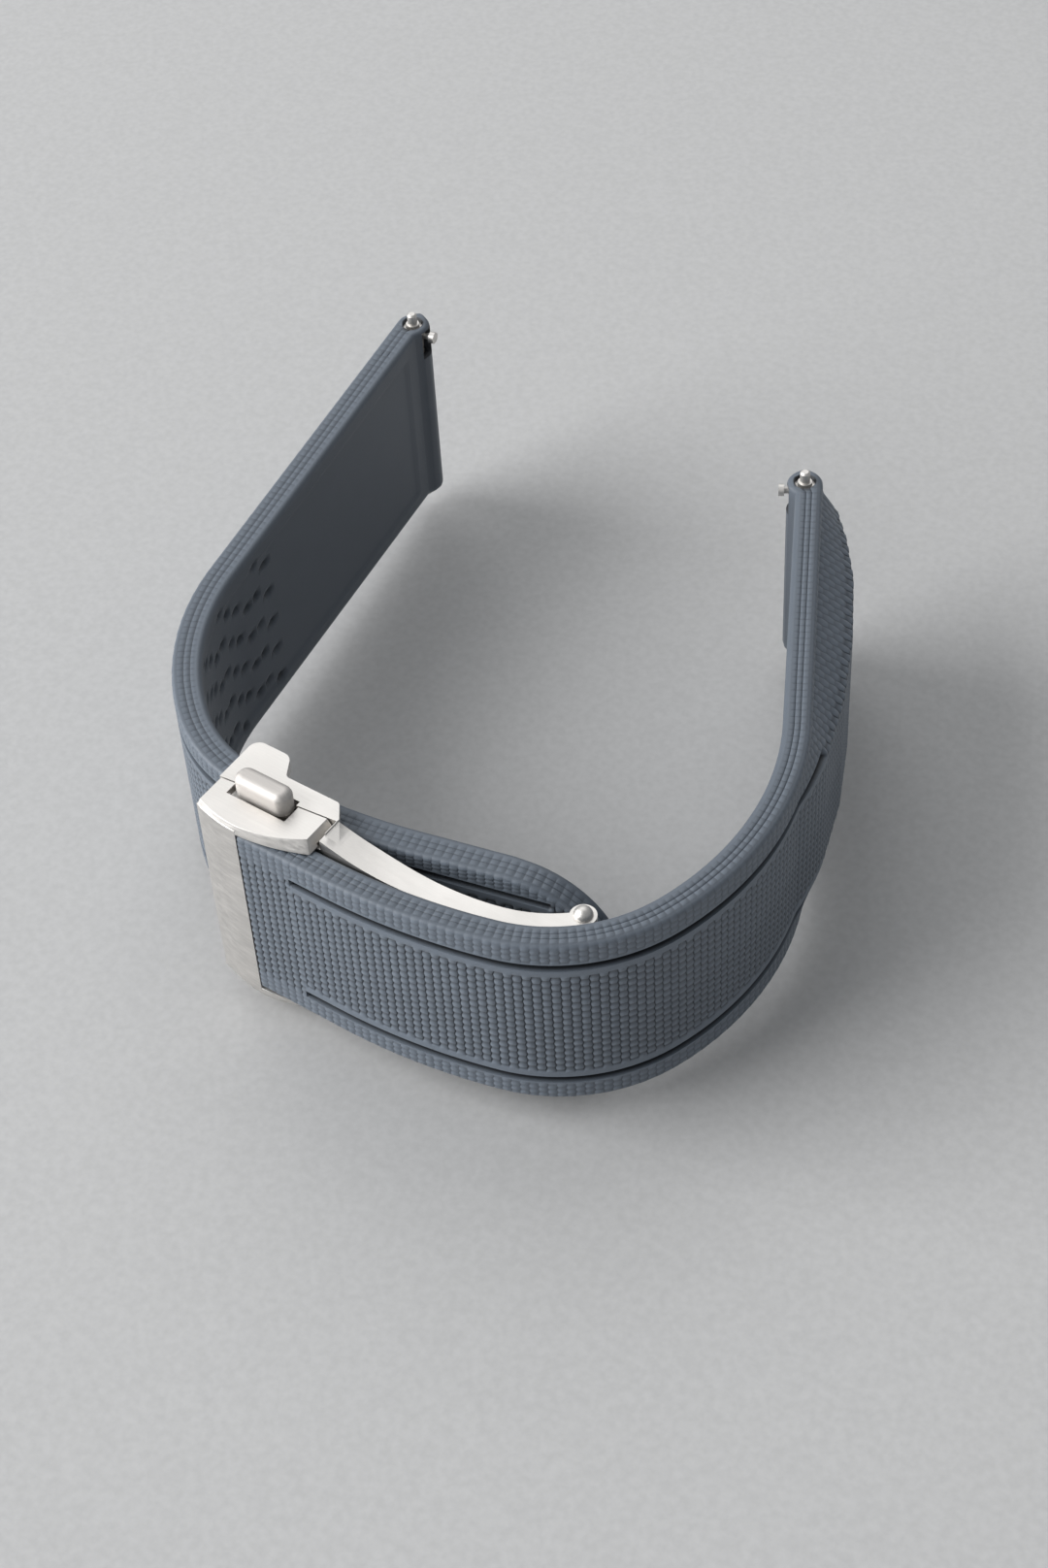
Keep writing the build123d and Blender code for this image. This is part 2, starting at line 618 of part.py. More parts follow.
    # Housings for the pushers, open towards the cover
    for side in SIDES:
        with BuildSketch(Plane.XZ.offset(-FLOOR_OUTER_Y)):
            with Locations(
                (
                    (BLOCK_LEFT + RAIL_ROOT_X + SIDE_GAP) / 2,
                    side * (WINDOW_HALF_WIDTH + BLOCK_OUTER_HALF) / 2,
                )
            ):
                Rectangle(
                    RAIL_ROOT_X + SIDE_GAP - BLOCK_LEFT, BLOCK_OUTER_HALF - WINDOW_HALF_WIDTH
                )
        extrude(amount=BLOCK_HEIGHT)
        with BuildSketch(Plane.XZ.offset(-CHANNEL_INNER_Y)):
            bay_outer = WING_OUTER + PUSHER_SLIDE_GAP
            with Locations((stem_middle, side * (BAY_INNER + bay_outer) / 2)):
                Rectangle(PUSHER_STEM_WIDTH + 2 * PUSHER_SLIDE_GAP, bay_outer - BAY_INNER)
            with Locations((stem_middle, side * (bay_outer + BLOCK_OUTER_HALF + OVERRUN) / 2)):
                Rectangle(
                    PUSHER_NECK_WIDTH + 2 * PUSHER_SLIDE_GAP, BLOCK_OUTER_HALF + OVERRUN - bay_outer
                )
        extrude(amount=BLOCK_HEIGHT, mode=Mode.SUBTRACT)
    # Seats for the keeper bar, the far pin, the peg and the rivets
    with BuildSketch():
        with Locations(
            ((KEEPER_LEFT + keeper_right) / 2, (keeper_outer_y + keeper_inner_y) / 2)
        ):
            Rectangle(KEEPER_WIDTH + 2 * SEATED_FIT, KEEPER_THICKNESS + 2 * SEATED_FIT)
    extrude(amount=FRAME_INNER_HALF + KEEPER_TENON + SEATED_FIT, both=True, mode=Mode.SUBTRACT)
    with BuildSketch():
        with Locations(far_pin):
            Circle(FAR_PIN_RADIUS + SEATED_FIT)
    extrude(amount=REACH, both=True, mode=Mode.SUBTRACT)
    with Locations(peg_plane):
        Cylinder(
            PEG_SHANK_RADIUS + SEATED_FIT, 2 * (SEAT_GAP + 2 * FLOOR_THICKNESS), mode=Mode.SUBTRACT
        )
    for side in SIDES:
        for rivet_z in (BAY_INNER, WING_INNER):
            with Locations(
                Plane(origin=(PLATE_RIVET_X, CHANNEL_OUTER_Y, side * rivet_z), z_dir=(0, -1, 0))
            ):
                Hole(PLATE_RIVET_RADIUS + SEATED_FIT, depth=PLATE_RIVET_LENGTH)

# Inner blade, folded into the window between the rails
with BuildPart() as inner_blade:
    with BuildSketch():
        with BuildLine():
            blade_route.draw_band(RAIL_DEPTH, RAIL_DEPTH + BLADE_THICKNESS)
        make_face()
        with Locations(far_pin):
            Circle(FAR_EYE_RADIUS)
        with Locations(cover_pin):
            Circle(COVER_EYE_RADIUS)
    extrude(amount=BLADE_HALF_WIDTH, both=True)
    # Waisted sides
    with BuildSketch(Plane.XZ):
        for side in SIDES:
            with BuildLine():
                waist = ThreePointArc(
                    (COVER_PIN_X + 4 * COVER_EYE_RADIUS, side * BLADE_HALF_WIDTH),
                    ((COVER_PIN_X + far_pin.X) / 2, side * (BLADE_HALF_WIDTH - BLADE_WAIST)),
                    (far_pin.X - 4 * FAR_EYE_RADIUS, side * BLADE_HALF_WIDTH),
                )
                Line(waist @ 0, waist @ 1)
            make_face()
    extrude(amount=REACH, both=True, mode=Mode.SUBTRACT)
    with BuildSketch():
        with Locations(far_pin):
            Circle(FAR_PIN_RADIUS + RUNNING_FIT)
        with Locations(cover_pin):
            Circle(COVER_PIN_RADIUS + RUNNING_FIT)
    extrude(amount=REACH, both=True, mode=Mode.SUBTRACT)

# Hinge pin at the far end, with a ball at each side
with BuildPart() as blade_pin:
    with BuildSketch():
        with Locations(far_pin):
            Circle(FAR_PIN_RADIUS)
    extrude(amount=RAIL_END_HALF_WIDTH, both=True)
    with Locations(*(far_pin + Vector(0, 0, side * RAIL_END_HALF_WIDTH) for side in SIDES)):
        Sphere(FAR_BALL_RADIUS)
    with BuildSketch():
        with Locations(far_pin):
            Circle(FAR_EYE_RADIUS)
            Circle(FAR_PIN_RADIUS, mode=Mode.SUBTRACT)
    extrude(amount=RAIL_END_HALF_WIDTH + SEATED_FIT, both=True, mode=Mode.SUBTRACT)

# Cover: outer plate, two side arms with lips over the rubber, hinge lugs and catches
plate_outer_left = Vector(PLATE_LEFT, CLASP_OUTER_Y + PLATE_LEFT_DROP)
plate_right = CLASP_JOINT_X - SIDE_GAP
plate_bow = PLATE_LEFT_DROP / 4
arm_bow_share = 0.42


def seam_at(x):
    """Height of the seam on the cover's side at a place along the clasp."""
    slope = (SEAM_RIGHT_Y - SEAM_LEFT_Y) / (SEAM_RIGHT_X - FRAME_LEFT)
    return SEAM_LEFT_Y + slope * (x - FRAME_LEFT) - SIDE_GAP


def arm_outline(right, drop, inset):
    """Draw a side arm in plan: the seam above and the bowed outer edge below."""
    left = PLATE_LEFT + inset / 2
    left_low = Vector(left, CLASP_OUTER_Y + PLATE_LEFT_DROP + inset / 4)
    crest = Vector(plate_right, CLASP_OUTER_Y + inset / 4)
    right_low = Vector(right, CLASP_OUTER_Y + drop)
    mid_left = (left_low + crest) / 2 - Vector(0, plate_bow)
    mid_right = (crest + right_low) / 2 - Vector(0, drop * arm_bow_share / 2)
    ThreePointArc(left_low, mid_left, crest)
    ThreePointArc(crest, mid_right, right_low)
    Polyline(
        right_low,
        (right, seam_at(right)),
        (left, seam_at(left)),
        left_low,
    )


with BuildPart() as clasp_cover:
    with BuildSketch():
        with BuildLine():
            outer_face = ThreePointArc(
                plate_outer_left,
                (plate_outer_left + Vector(plate_right, CLASP_OUTER_Y)) / 2 - Vector(0, plate_bow),
                (plate_right, CLASP_OUTER_Y),
            )
            inner_face = ThreePointArc(
                outer_face @ 0 + Vector(0, PLATE_THICKNESS),
                outer_face @ 0.5 + Vector(0, PLATE_THICKNESS),
                outer_face @ 1 + Vector(0, PLATE_THICKNESS),
            )
            Line(outer_face @ 0, inner_face @ 0)
            Line(outer_face @ 1, inner_face @ 1)
        make_face()
    extrude(amount=ARM_INNER_HALF + COVER_WALL / 4, both=True)
    for side in SIDES:
        with BuildSketch(Plane.XY.offset(side * (ARM_INNER_HALF - LIP_DEPTH))):
            with BuildLine():
                arm_outline(ARM_RIGHT, ARM_TIP_DROP, 0)
            make_face()
        with BuildSketch(Plane.XY.offset(side * CLASP_HALF_WIDTH)):
            with BuildLine():
                arm_outline(
                    ARM_RIGHT - ARM_TOP_INSET, ARM_TIP_DROP * ARM_TOP_DROP_SHARE, ARM_TOP_INSET
                )
            make_face()
        loft()
    # The space between the arms, down to the lips
    with BuildSketch():
        with Locations(((PLATE_LEFT + ARM_RIGHT) / 2, (SEAM_RIGHT_Y + NOTCH_OUTER_Y) / 2)):
            Rectangle(ARM_RIGHT + OVERRUN, SEAM_RIGHT_Y - NOTCH_OUTER_Y)
    extrude(amount=ARM_INNER_HALF, both=True, mode=Mode.SUBTRACT)
    # Notches for the pushers, open towards the frame
    with BuildSketch():
        with Locations(
            (PUSHER_CAP_LEFT + PUSHER_CAP_LENGTH / 2, (SEAM_RIGHT_Y + NOTCH_OUTER_Y) / 2)
        ):
            Rectangle(PUSHER_CAP_LENGTH + 2 * NOTCH_GAP, SEAM_RIGHT_Y - NOTCH_OUTER_Y)
    extrude(amount=REACH, both=True, mode=Mode.SUBTRACT)
    # Hinge lugs and the catches for the pusher hooks
    for side in SIDES:
        lug_middle = side * (COVER_LUG_INNER + COVER_LUG_OUTER) / 2
        with BuildSketch(Plane.XY.offset(lug_middle)):
            with Locations(cover_pin):
                Circle(COVER_LUG_RADIUS)
            lug_foot = CLASP_OUTER_Y + PLATE_THICKNESS
            with Locations((COVER_PIN_X, (COVER_PIN_Y + lug_foot) / 2)):
                Rectangle(2 * COVER_LUG_RADIUS, COVER_PIN_Y - lug_foot)
        extrude(amount=COVER_LUG_WIDTH / 2, both=True)
        catch_middle = side * (ARM_INNER_HALF - CATCH_DEPTH / 2)
        with BuildSketch(Plane.XY.offset(catch_middle)):
            with Locations(
                (PUSHER_STEM_LEFT + HOOK_WIDTH / 2, (CATCH_INNER_Y + CATCH_OUTER_Y) / 2)
            ):
                Rectangle(2 * HOOK_WIDTH, CATCH_THICKNESS)
        extrude(amount=CATCH_DEPTH / 2 + PUSHER_SLIDE_GAP / 2, both=True)
    with BuildSketch():
        with Locations(cover_pin):
            Circle(COVER_PIN_RADIUS + SEATED_FIT)
        with Locations((STRAP_BAR_X, CLASP_OUTER_Y + SHORT_THICKNESS / 2)):
            Circle(STRAP_BAR_RADIUS + SEATED_FIT)
    extrude(amount=ARM_INNER_HALF + STRAP_BAR_SEAT, both=True, mode=Mode.SUBTRACT)

with BuildPart() as cover_hinge_pin:
    with BuildSketch():
        with Locations(cover_pin):
            Circle(COVER_PIN_RADIUS)
    extrude(amount=COVER_LUG_OUTER, both=True)

with BuildPart() as strap_bar:
    with BuildSketch():
        with Locations((STRAP_BAR_X, CLASP_OUTER_Y + SHORT_THICKNESS / 2)):
            Circle(STRAP_BAR_RADIUS)
    extrude(amount=ARM_INNER_HALF + STRAP_BAR_SEAT - SEATED_FIT, both=True)
    chamfer(faces().filter_by(Axis.Z).edges(), EDGE_BREAK)

# Keeper bar over the tail's wrist side, tenoned into the two tabs
with BuildPart() as keeper_bar:
    with BuildSketch():
        with Locations(
            ((KEEPER_LEFT + keeper_right) / 2, (keeper_outer_y + keeper_inner_y) / 2)
        ):
            Rectangle(KEEPER_WIDTH, KEEPER_THICKNESS)
    extrude(amount=FRAME_INNER_HALF + KEEPER_TENON, both=True)
    chamfer(edges().filter_by(Axis.Z), EDGE_BREAK)

# Peg that holds the tail by one of its sizing holes, riveted into the frame's floor
with BuildPart() as tail_peg:
    with BuildSketch(peg_plane.offset(SEATED_FIT - SEAT_GAP)):
        Circle(PEG_RADIUS)
    extrude(amount=TAIL_THICKNESS - SEAT_GAP)
    chamfer(edges().filter_by(GeomType.CIRCLE).sort_by(Axis.Y)[-1], PEG_RADIUS / 3)
    with BuildSketch(peg_plane.offset(SEATED_FIT - SEAT_GAP)):
        Circle(PEG_SHANK_RADIUS)
    extrude(amount=-FLOOR_THICKNESS)


def make_pusher(side):
    """One pusher: cap, neck, wing and hook, above or below the middle plane."""
    with BuildPart() as pusher:
        # Cap, rounded on top
        with BuildSketch(Plane.XY.offset(side * CAP_INNER)):
            with Locations(
                (PUSHER_CAP_LEFT + PUSHER_CAP_LENGTH / 2, CAP_OUTER_Y + PUSHER_CAP_HEIGHT / 2)
            ):
                RectangleRounded(PUSHER_CAP_LENGTH, PUSHER_CAP_HEIGHT, PUSHER_CAP_ROUND)
        extrude(amount=side * (PUSHER_CAP_SUNK + PUSHER_CAP_PROUD))
        outer_face = faces().sort_by(Axis.Z)[-1 if side > 0 else 0]
        fillet(outer_face.edges(), radius=PUSHER_CAP_ROUND)
        # Neck and wing, which slide in the housing
        with BuildSketch(Plane.XZ.offset(-STEM_INNER_Y)):
            with Locations((stem_middle, side * (WING_INNER + WING_OUTER) / 2)):
                Rectangle(PUSHER_STEM_WIDTH, PUSHER_WING_DEPTH)
            with Locations((stem_middle, side * (WING_OUTER + CAP_INNER) / 2)):
                Rectangle(PUSHER_NECK_WIDTH, CAP_INNER - WING_OUTER + 2 * PUSHER_SLIDE_GAP)
        extrude(amount=PUSHER_STEM_HEIGHT)
        # Hook behind the cover's catch
        hook_root_y = STEM_INNER_Y - PUSHER_STEM_HEIGHT
        nose_half = ARM_INNER_HALF - CATCH_DEPTH - PUSHER_SLIDE_GAP
        hook_inner_half = WING_OUTER - PUSHER_WING_DEPTH / 2
        with BuildSketch(Plane.YZ.offset(PUSHER_STEM_LEFT)):
            with BuildLine():
                Polyline(
                    (hook_root_y, side * hook_inner_half),
                    (HOOK_OUTER_Y, side * hook_inner_half),
                    (HOOK_OUTER_Y, side * (nose_half - HOOK_REACH)),
                    (HOOK_INNER_Y, side * nose_half),
                    (HOOK_INNER_Y, side * WING_OUTER),
                    (hook_root_y, side * WING_OUTER),
                    close=True,
                )
            make_face()
        extrude(amount=HOOK_WIDTH)
    return pusher


def make_pusher_plate(side):
    """Plate that closes a pusher housing, with a slot for the hook."""
    with BuildPart() as plate:
        with BuildSketch(Plane.XZ.offset(-CHANNEL_OUTER_Y)):
            with Locations(
                (
                    (BLOCK_LEFT + RAIL_ROOT_X - SIDE_GAP) / 2,
                    side * (WINDOW_HALF_WIDTH + BLOCK_OUTER_HALF) / 2,
                )
            ):
                Rectangle(
                    RAIL_ROOT_X - SIDE_GAP - BLOCK_LEFT, BLOCK_OUTER_HALF - WINDOW_HALF_WIDTH
                )
            slot_inner = WING_INNER - PUSHER_TRAVEL
            slot_outer = WING_OUTER + PUSHER_SLIDE_GAP
            with Locations(
                (PUSHER_STEM_LEFT + HOOK_WIDTH / 2, side * (slot_inner + slot_outer) / 2)
            ):
                Rectangle(
                    HOOK_WIDTH + 2 * PUSHER_SLIDE_GAP, slot_outer - slot_inner, mode=Mode.SUBTRACT
                )
        extrude(amount=CHANNEL_OUTER_Y - BLADE_OUTER_Y)
        for rivet_z in (BAY_INNER, WING_INNER):
            with Locations(
                Plane(origin=(PLATE_RIVET_X, BLADE_OUTER_Y, side * rivet_z), z_dir=(0, -1, 0))
            ):
                Hole(PLATE_RIVET_RADIUS + SEATED_FIT, depth=OVERRUN)
    return plate


def make_spring(radius, wire, turns, low, high, axis_point):
    """Compression spring of square wire standing along Z between two heights."""
    pitch = (high - low) / turns
    with BuildPart() as spring:
        with BuildLine() as coil:
            Helix(pitch, high - low - 2 * wire, radius, center=axis_point + Vector(0, 0, low + wire))
        with BuildSketch(Plane(origin=coil.line @ 0, z_dir=coil.line % 0)):
            Rectangle(2 * wire, 2 * wire)
        sweep()
    return spring


def make_lug_bar(bar, heading):
    """Quick-release bar: tube, release tip with its knob, spring and fixed tip."""
    tube_end = LUG_HALF_WIDTH - TUBE_END_GAP
    knob_z = LUG_HALF_WIDTH - KNOB_DEPTH
    plane = bar_plane(bar, heading)
    wrist = wristward(heading)
    release_low = tube_end - RELEASE_BODY_LENGTH
    fixed_high = -tube_end + FIXED_BODY_LENGTH
    with BuildPart() as tube:
        with BuildSketch(plane):
            Circle(TUBE_RADIUS)
            Circle(TUBE_BORE_RADIUS, mode=Mode.SUBTRACT)
        extrude(amount=tube_end, both=True)
        slot_low = knob_z - RELEASE_TRAVEL - KNOB_STEM_RADIUS - KNOB_PLAY
        slot_high = knob_z + KNOB_STEM_RADIUS + KNOB_PLAY
        with BuildSketch(bar_plane(bar, heading, slot_low)):
            with Locations((TUBE_RADIUS, 0)):
                Rectangle(2 * TUBE_RADIUS, KNOB_SLOT_WIDTH)
        extrude(amount=slot_high - slot_low, mode=Mode.SUBTRACT)
    with BuildPart() as release_tip:
        with BuildSketch(bar_plane(bar, heading, release_low)):
            Circle(TIP_BODY_RADIUS)
        extrude(amount=LUG_HALF_WIDTH - release_low)
        with BuildSketch(bar_plane(bar, heading, LUG_HALF_WIDTH)):
            Circle(TIP_RADIUS)
        extrude(amount=TIP_REACH)
        chamfer(edges().filter_by(GeomType.CIRCLE).sort_by(Axis.Z).last, EDGE_BREAK)
        with Locations(Plane(origin=bar + Vector(0, 0, knob_z), z_dir=wrist * -1)):
            Hole(KNOB_STEM_RADIUS + SEATED_FIT, depth=TIP_BODY_RADIUS)
    with BuildPart() as knob:
        with BuildSketch(Plane(origin=bar + Vector(0, 0, knob_z), z_dir=wrist)):
            Circle(KNOB_STEM_RADIUS)
        extrude(amount=LUG_END_RADIUS + KNOB_PLAY)
        head_plane = Plane(
            origin=bar + Vector(0, 0, knob_z) + wrist * (LUG_END_RADIUS + KNOB_PLAY), z_dir=wrist
        )
        with BuildSketch(head_plane):
            Circle(KNOB_HEAD_RADIUS)
        extrude(amount=KNOB_HEAD_THICKNESS)
    with BuildPart() as fixed_tip:
        with BuildSketch(bar_plane(bar, heading, -LUG_HALF_WIDTH)):
            Circle(TUBE_BORE_RADIUS - SEATED_FIT)
        extrude(amount=fixed_high + LUG_HALF_WIDTH)
        with BuildSketch(bar_plane(bar, heading, -LUG_HALF_WIDTH)):
            Circle(TIP_RADIUS)
        extrude(amount=-TIP_REACH)
        chamfer(edges().filter_by(GeomType.CIRCLE).sort_by(Axis.Z).first, EDGE_BREAK)
    spring = make_spring(
        BAR_SPRING_RADIUS, BAR_SPRING_WIRE, BAR_SPRING_TURNS, fixed_high, release_low, bar
    )
    return {
        "lug_tube": tube,
        "release_tip": release_tip,
        "release_knob": knob,
        "fixed_tip": fixed_tip,
        "bar_spring": spring,
    }


# Flush rivets of the two pusher plates
with BuildPart() as plate_rivets:
    for side in SIDES:
        for rivet_z in (BAY_INNER, WING_INNER):
            with BuildSketch(
                Plane(origin=(PLATE_RIVET_X, BLADE_OUTER_Y, side * rivet_z), z_dir=(0, 1, 0))
            ):
                Circle(PLATE_RIVET_RADIUS)
            extrude(amount=PLATE_RIVET_LENGTH + CHANNEL_OUTER_Y - BLADE_OUTER_Y - SEATED_FIT)

pieces = {
    "short_strap": short_strap,
    "tail_strap": tail_strap,
    "clasp_frame": clasp_frame,
    "inner_blade": inner_blade,
    "blade_pin": blade_pin,
    "clasp_cover": clasp_cover,
    "cover_hinge_pin": cover_hinge_pin,
    "strap_bar": strap_bar,
    "keeper_bar": keeper_bar,
    "tail_peg": tail_peg,
    "plate_rivets": plate_rivets,
}
spring_y = STEM_INNER_Y - PUSHER_STEM_HEIGHT / 2
for name, side in (("upper", 1), ("lower", -1)):
    pieces[f"{name}_pusher"] = make_pusher(side)
    pieces[f"{name}_pusher_plate"] = make_pusher_plate(side)
    low, high = sorted((side * BAY_INNER, side * WING_INNER))
    pieces[f"{name}_pusher_spring"] = make_spring(
        PUSHER_SPRING_RADIUS,
        PUSHER_SPRING_WIRE,
        PUSHER_SPRING_TURNS,
        low,
        high,
        Vector(stem_middle, spring_y),
    )
for name, bar, heading in (
    ("short", SHORT_BAR, SHORT_LUG_HEADING),
    ("tail", TAIL_BAR, TAIL_LUG_HEADING),
):
    for piece_name, piece in make_lug_bar(bar, heading).items():
        pieces[f"{name}_{piece_name}"] = piece

os.makedirs("parts", exist_ok=True)
for name, piece in pieces.items():
    piece.part.label = name
    export_step(piece.part, f"parts/{name}.step")
print("far pin", far_pin, "cover pin", cover_pin, "tail seat", tail_seat)
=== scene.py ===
"""The looks of a rubber dive strap.

Two halves of moulded rubber with a woven relief are joined by a folding clasp of steel. Their
solids, bodies and joints come from the frame.
"""

import json
import logging
import math
from dataclasses import dataclass
from enum import Enum
from typing import Any

import bmesh
import bpy
from mathutils import Matrix, Vector

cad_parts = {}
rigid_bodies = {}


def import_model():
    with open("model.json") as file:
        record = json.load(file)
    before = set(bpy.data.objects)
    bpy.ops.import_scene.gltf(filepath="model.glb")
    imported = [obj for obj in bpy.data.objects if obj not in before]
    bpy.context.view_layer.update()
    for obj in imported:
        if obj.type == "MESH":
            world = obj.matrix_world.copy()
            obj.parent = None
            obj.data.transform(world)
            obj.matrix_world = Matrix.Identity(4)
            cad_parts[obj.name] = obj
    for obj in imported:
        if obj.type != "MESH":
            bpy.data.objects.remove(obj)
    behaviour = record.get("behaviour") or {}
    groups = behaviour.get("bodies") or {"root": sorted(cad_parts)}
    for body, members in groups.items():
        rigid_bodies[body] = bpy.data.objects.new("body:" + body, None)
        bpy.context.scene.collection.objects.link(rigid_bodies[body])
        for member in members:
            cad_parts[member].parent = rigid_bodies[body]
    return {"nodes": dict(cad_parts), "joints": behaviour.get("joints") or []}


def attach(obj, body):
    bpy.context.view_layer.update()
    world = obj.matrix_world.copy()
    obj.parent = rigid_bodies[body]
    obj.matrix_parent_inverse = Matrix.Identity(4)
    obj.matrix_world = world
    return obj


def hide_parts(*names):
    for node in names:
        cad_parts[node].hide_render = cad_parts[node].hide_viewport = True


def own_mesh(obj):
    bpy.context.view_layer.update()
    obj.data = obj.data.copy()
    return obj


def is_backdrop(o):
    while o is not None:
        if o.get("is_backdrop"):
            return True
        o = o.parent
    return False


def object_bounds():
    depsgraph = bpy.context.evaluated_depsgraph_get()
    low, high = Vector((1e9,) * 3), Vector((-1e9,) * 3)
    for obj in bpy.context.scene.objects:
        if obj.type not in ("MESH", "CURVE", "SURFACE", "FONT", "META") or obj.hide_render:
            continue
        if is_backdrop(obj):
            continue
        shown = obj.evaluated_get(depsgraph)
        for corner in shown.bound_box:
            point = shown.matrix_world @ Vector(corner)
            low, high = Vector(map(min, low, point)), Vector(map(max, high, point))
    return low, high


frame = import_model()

log = logging.getLogger("dive_strap")

MM = 0.001
LUG_BAR_X = 21.5 * MM
LUG_END_RADIUS = 1.6 * MM
LUG_HALF_WIDTH = 10.0 * MM
CLASP_OUTER_Y = -59.95 * MM

# Points of a mesh that lie nearer than this are one. A cut leaves them a little farther apart.
WELD = 0.001 * MM
LOOSE_WELD = 0.002 * MM
# Keeps a place on a whole number of columns or stitches out of the one before.
ROUNDING = 1e-6
# Nearly all of a noise lies between these values.
NOISE_LOW = 0.3
NOISE_HIGH = 0.7
BUMP_STRENGTH = 0.6
# Sockets of a Mix node for colours: its factor, both colours and its result.
MIX_FACTOR, MIX_FIRST, MIX_SECOND, MIX_RESULT = 0, 6, 7, 2


class Half(Enum):
    """The two halves of the strap."""

    SHORT = "short"
    TAIL = "tail"


class Zone(Enum):
    """Parts of a half's section, in order from the outer face to the wrist side."""

    OUTER = "outer"
    OUTER_EDGE = "outer_edge"
    SIDE = "side"
    WRIST_EDGE = "wrist_edge"
    WRIST = "wrist"


class Brushing(Enum):
    """Direction of the scratches in steel; each value stretches their pattern in x, y and z."""

    ALONG_STRAP = (0.06, 1.0, 1.0)
    TURNED = (1.0, 1.0, 1.0)


@dataclass(frozen=True)
class Run:
    """A straight or a bend of the strap's outer face, seen along the lug bars."""

    length: float
    radius: float = 0.0

    @property
    def turn(self) -> float:
        """Angle of the bend in radians, zero on a straight."""
        return self.length / self.radius if self.radius else 0.0


def bend(radius: float, degrees: float) -> Run:
    """A bend towards the wrist side, from its radius and its turn in degrees."""
    return Run(radius * math.radians(degrees), radius)


@dataclass(frozen=True)
class Route:
    """The outer face of a strap half in plan, as straights and bends end to end."""

    start: Vector
    heading: float
    runs: tuple[Run, ...]

    @property
    def length(self) -> float:
        """Length of the whole route."""
        return sum(run.length for run in self.runs)

    def at(self, distance: float) -> tuple[Vector, float]:
        """Find a place on the outer face.

        Args:
            distance: how far along the route, which goes on straight past both ends.

        Returns:
            The point in plan and the heading there, in radians.
        """
        point, heading, left = self.start.copy(), self.heading, distance
        for run in self.runs:
            step = left if run is self.runs[-1] else min(left, run.length)
            if run.radius and step <= run.length:
                centre = point + wristward(heading) * run.radius
                heading += step / run.radius
                point = centre - wristward(heading) * run.radius
            else:
                point = point + onward(heading) * step
            left -= step
            if left <= 0:
                break
        return point, heading


def onward(heading: float) -> Vector:
    """Unit vector in plan along the strap."""
    return Vector((math.cos(heading), math.sin(heading)))


def wristward(heading: float) -> Vector:
    """Unit vector in plan from the outer face to the wrist side."""
    return Vector((-math.sin(heading), math.cos(heading)))


def straights_between(
    start: Vector, end: Vector, heading: float, bends: tuple[Run, ...], last_heading: float
) -> tuple[float, float]:
    """Fit the straights before and after some bends between two points.

    Args:
        start: first point in plan.
        end: last point in plan.
        heading: heading at the start, in radians.
        bends: the bends between the two straights.
        last_heading: heading at the end, in radians.

    Returns:
        The lengths of the first and the last straight.
    """
    across = Vector((0.0, 0.0))
    turned = heading
    for run in bends:
        across += (wristward(turned) - wristward(turned + run.turn)) * run.radius
        turned += run.turn
    rest = end - start - across
    first = onward(heading)
    last = onward(last_heading)
    spread = first.x * last.y - first.y * last.x
    first_length = (rest.x * last.y - rest.y * last.x) / spread
    last_length = (first.x * rest.y - first.y * rest.x) / spread
    return first_length, last_length


def ramp(value: float, low: float, high: float) -> float:
    """Rise evenly from 0 at low to 1 at high."""
    return min(max((value - low) / (high - low), 0.0), 1.0)


def smooth_step(value: float, low: float, high: float) -> float:
    """Ease from 0 at low to 1 at high."""
    share = ramp(value, low, high)
    return share * share * (3.0 - 2.0 * share)


def even_shares(count: int) -> list[float]:
    """Shares of a way in even steps, the last of them 1."""
    return [step / count for step in range(1, count + 1)]


def linear(hex_colour: str) -> tuple[float, float, float, float]:
    """Turn an sRGB hex colour to linear light, by the standard's own curve.

    Args:
        hex_colour: a colour such as "#5d6570".

    Returns:
        Red, green and blue in linear light, and an alpha of 1.
    """
    channels = [int(hex_colour[i:i + 2], 16) / 255 for i in (1, 3, 5)]
    red, green, blue = (
        c / 12.92 if c <= 0.04045 else ((c + 0.055) / 1.055) ** 2.4 for c in channels
    )
    return red, green, blue, 1.0


def add_node(
    tree: bpy.types.NodeTree, kind: str, inputs: dict[Any, Any] | None = None, **settings: Any
) -> bpy.types.Node:
    """Add a node to a tree.

    Args:
        tree: the node tree.
        kind: the node's type name.
        inputs: for each input's name or number, a value or the socket to link from.
        settings: properties of the node.

    Returns:
        The new node.
    """
    node = tree.nodes.new(kind)
    for name, value in settings.items():
        setattr(node, name, value)
    for name, value in (inputs or {}).items():
        if isinstance(value, bpy.types.NodeSocket):
            tree.links.new(value, node.inputs[name])
        else:
            node.inputs[name].default_value = value
    return node


def spread(middle: float, reach: float) -> dict[str, float]:
    """Limits that map a noise to values up to a reach away from a middle one."""
    limits = {"From Min": NOISE_LOW, "From Max": NOISE_HIGH}
    return limits | {"To Min": middle - reach, "To Max": middle + reach}


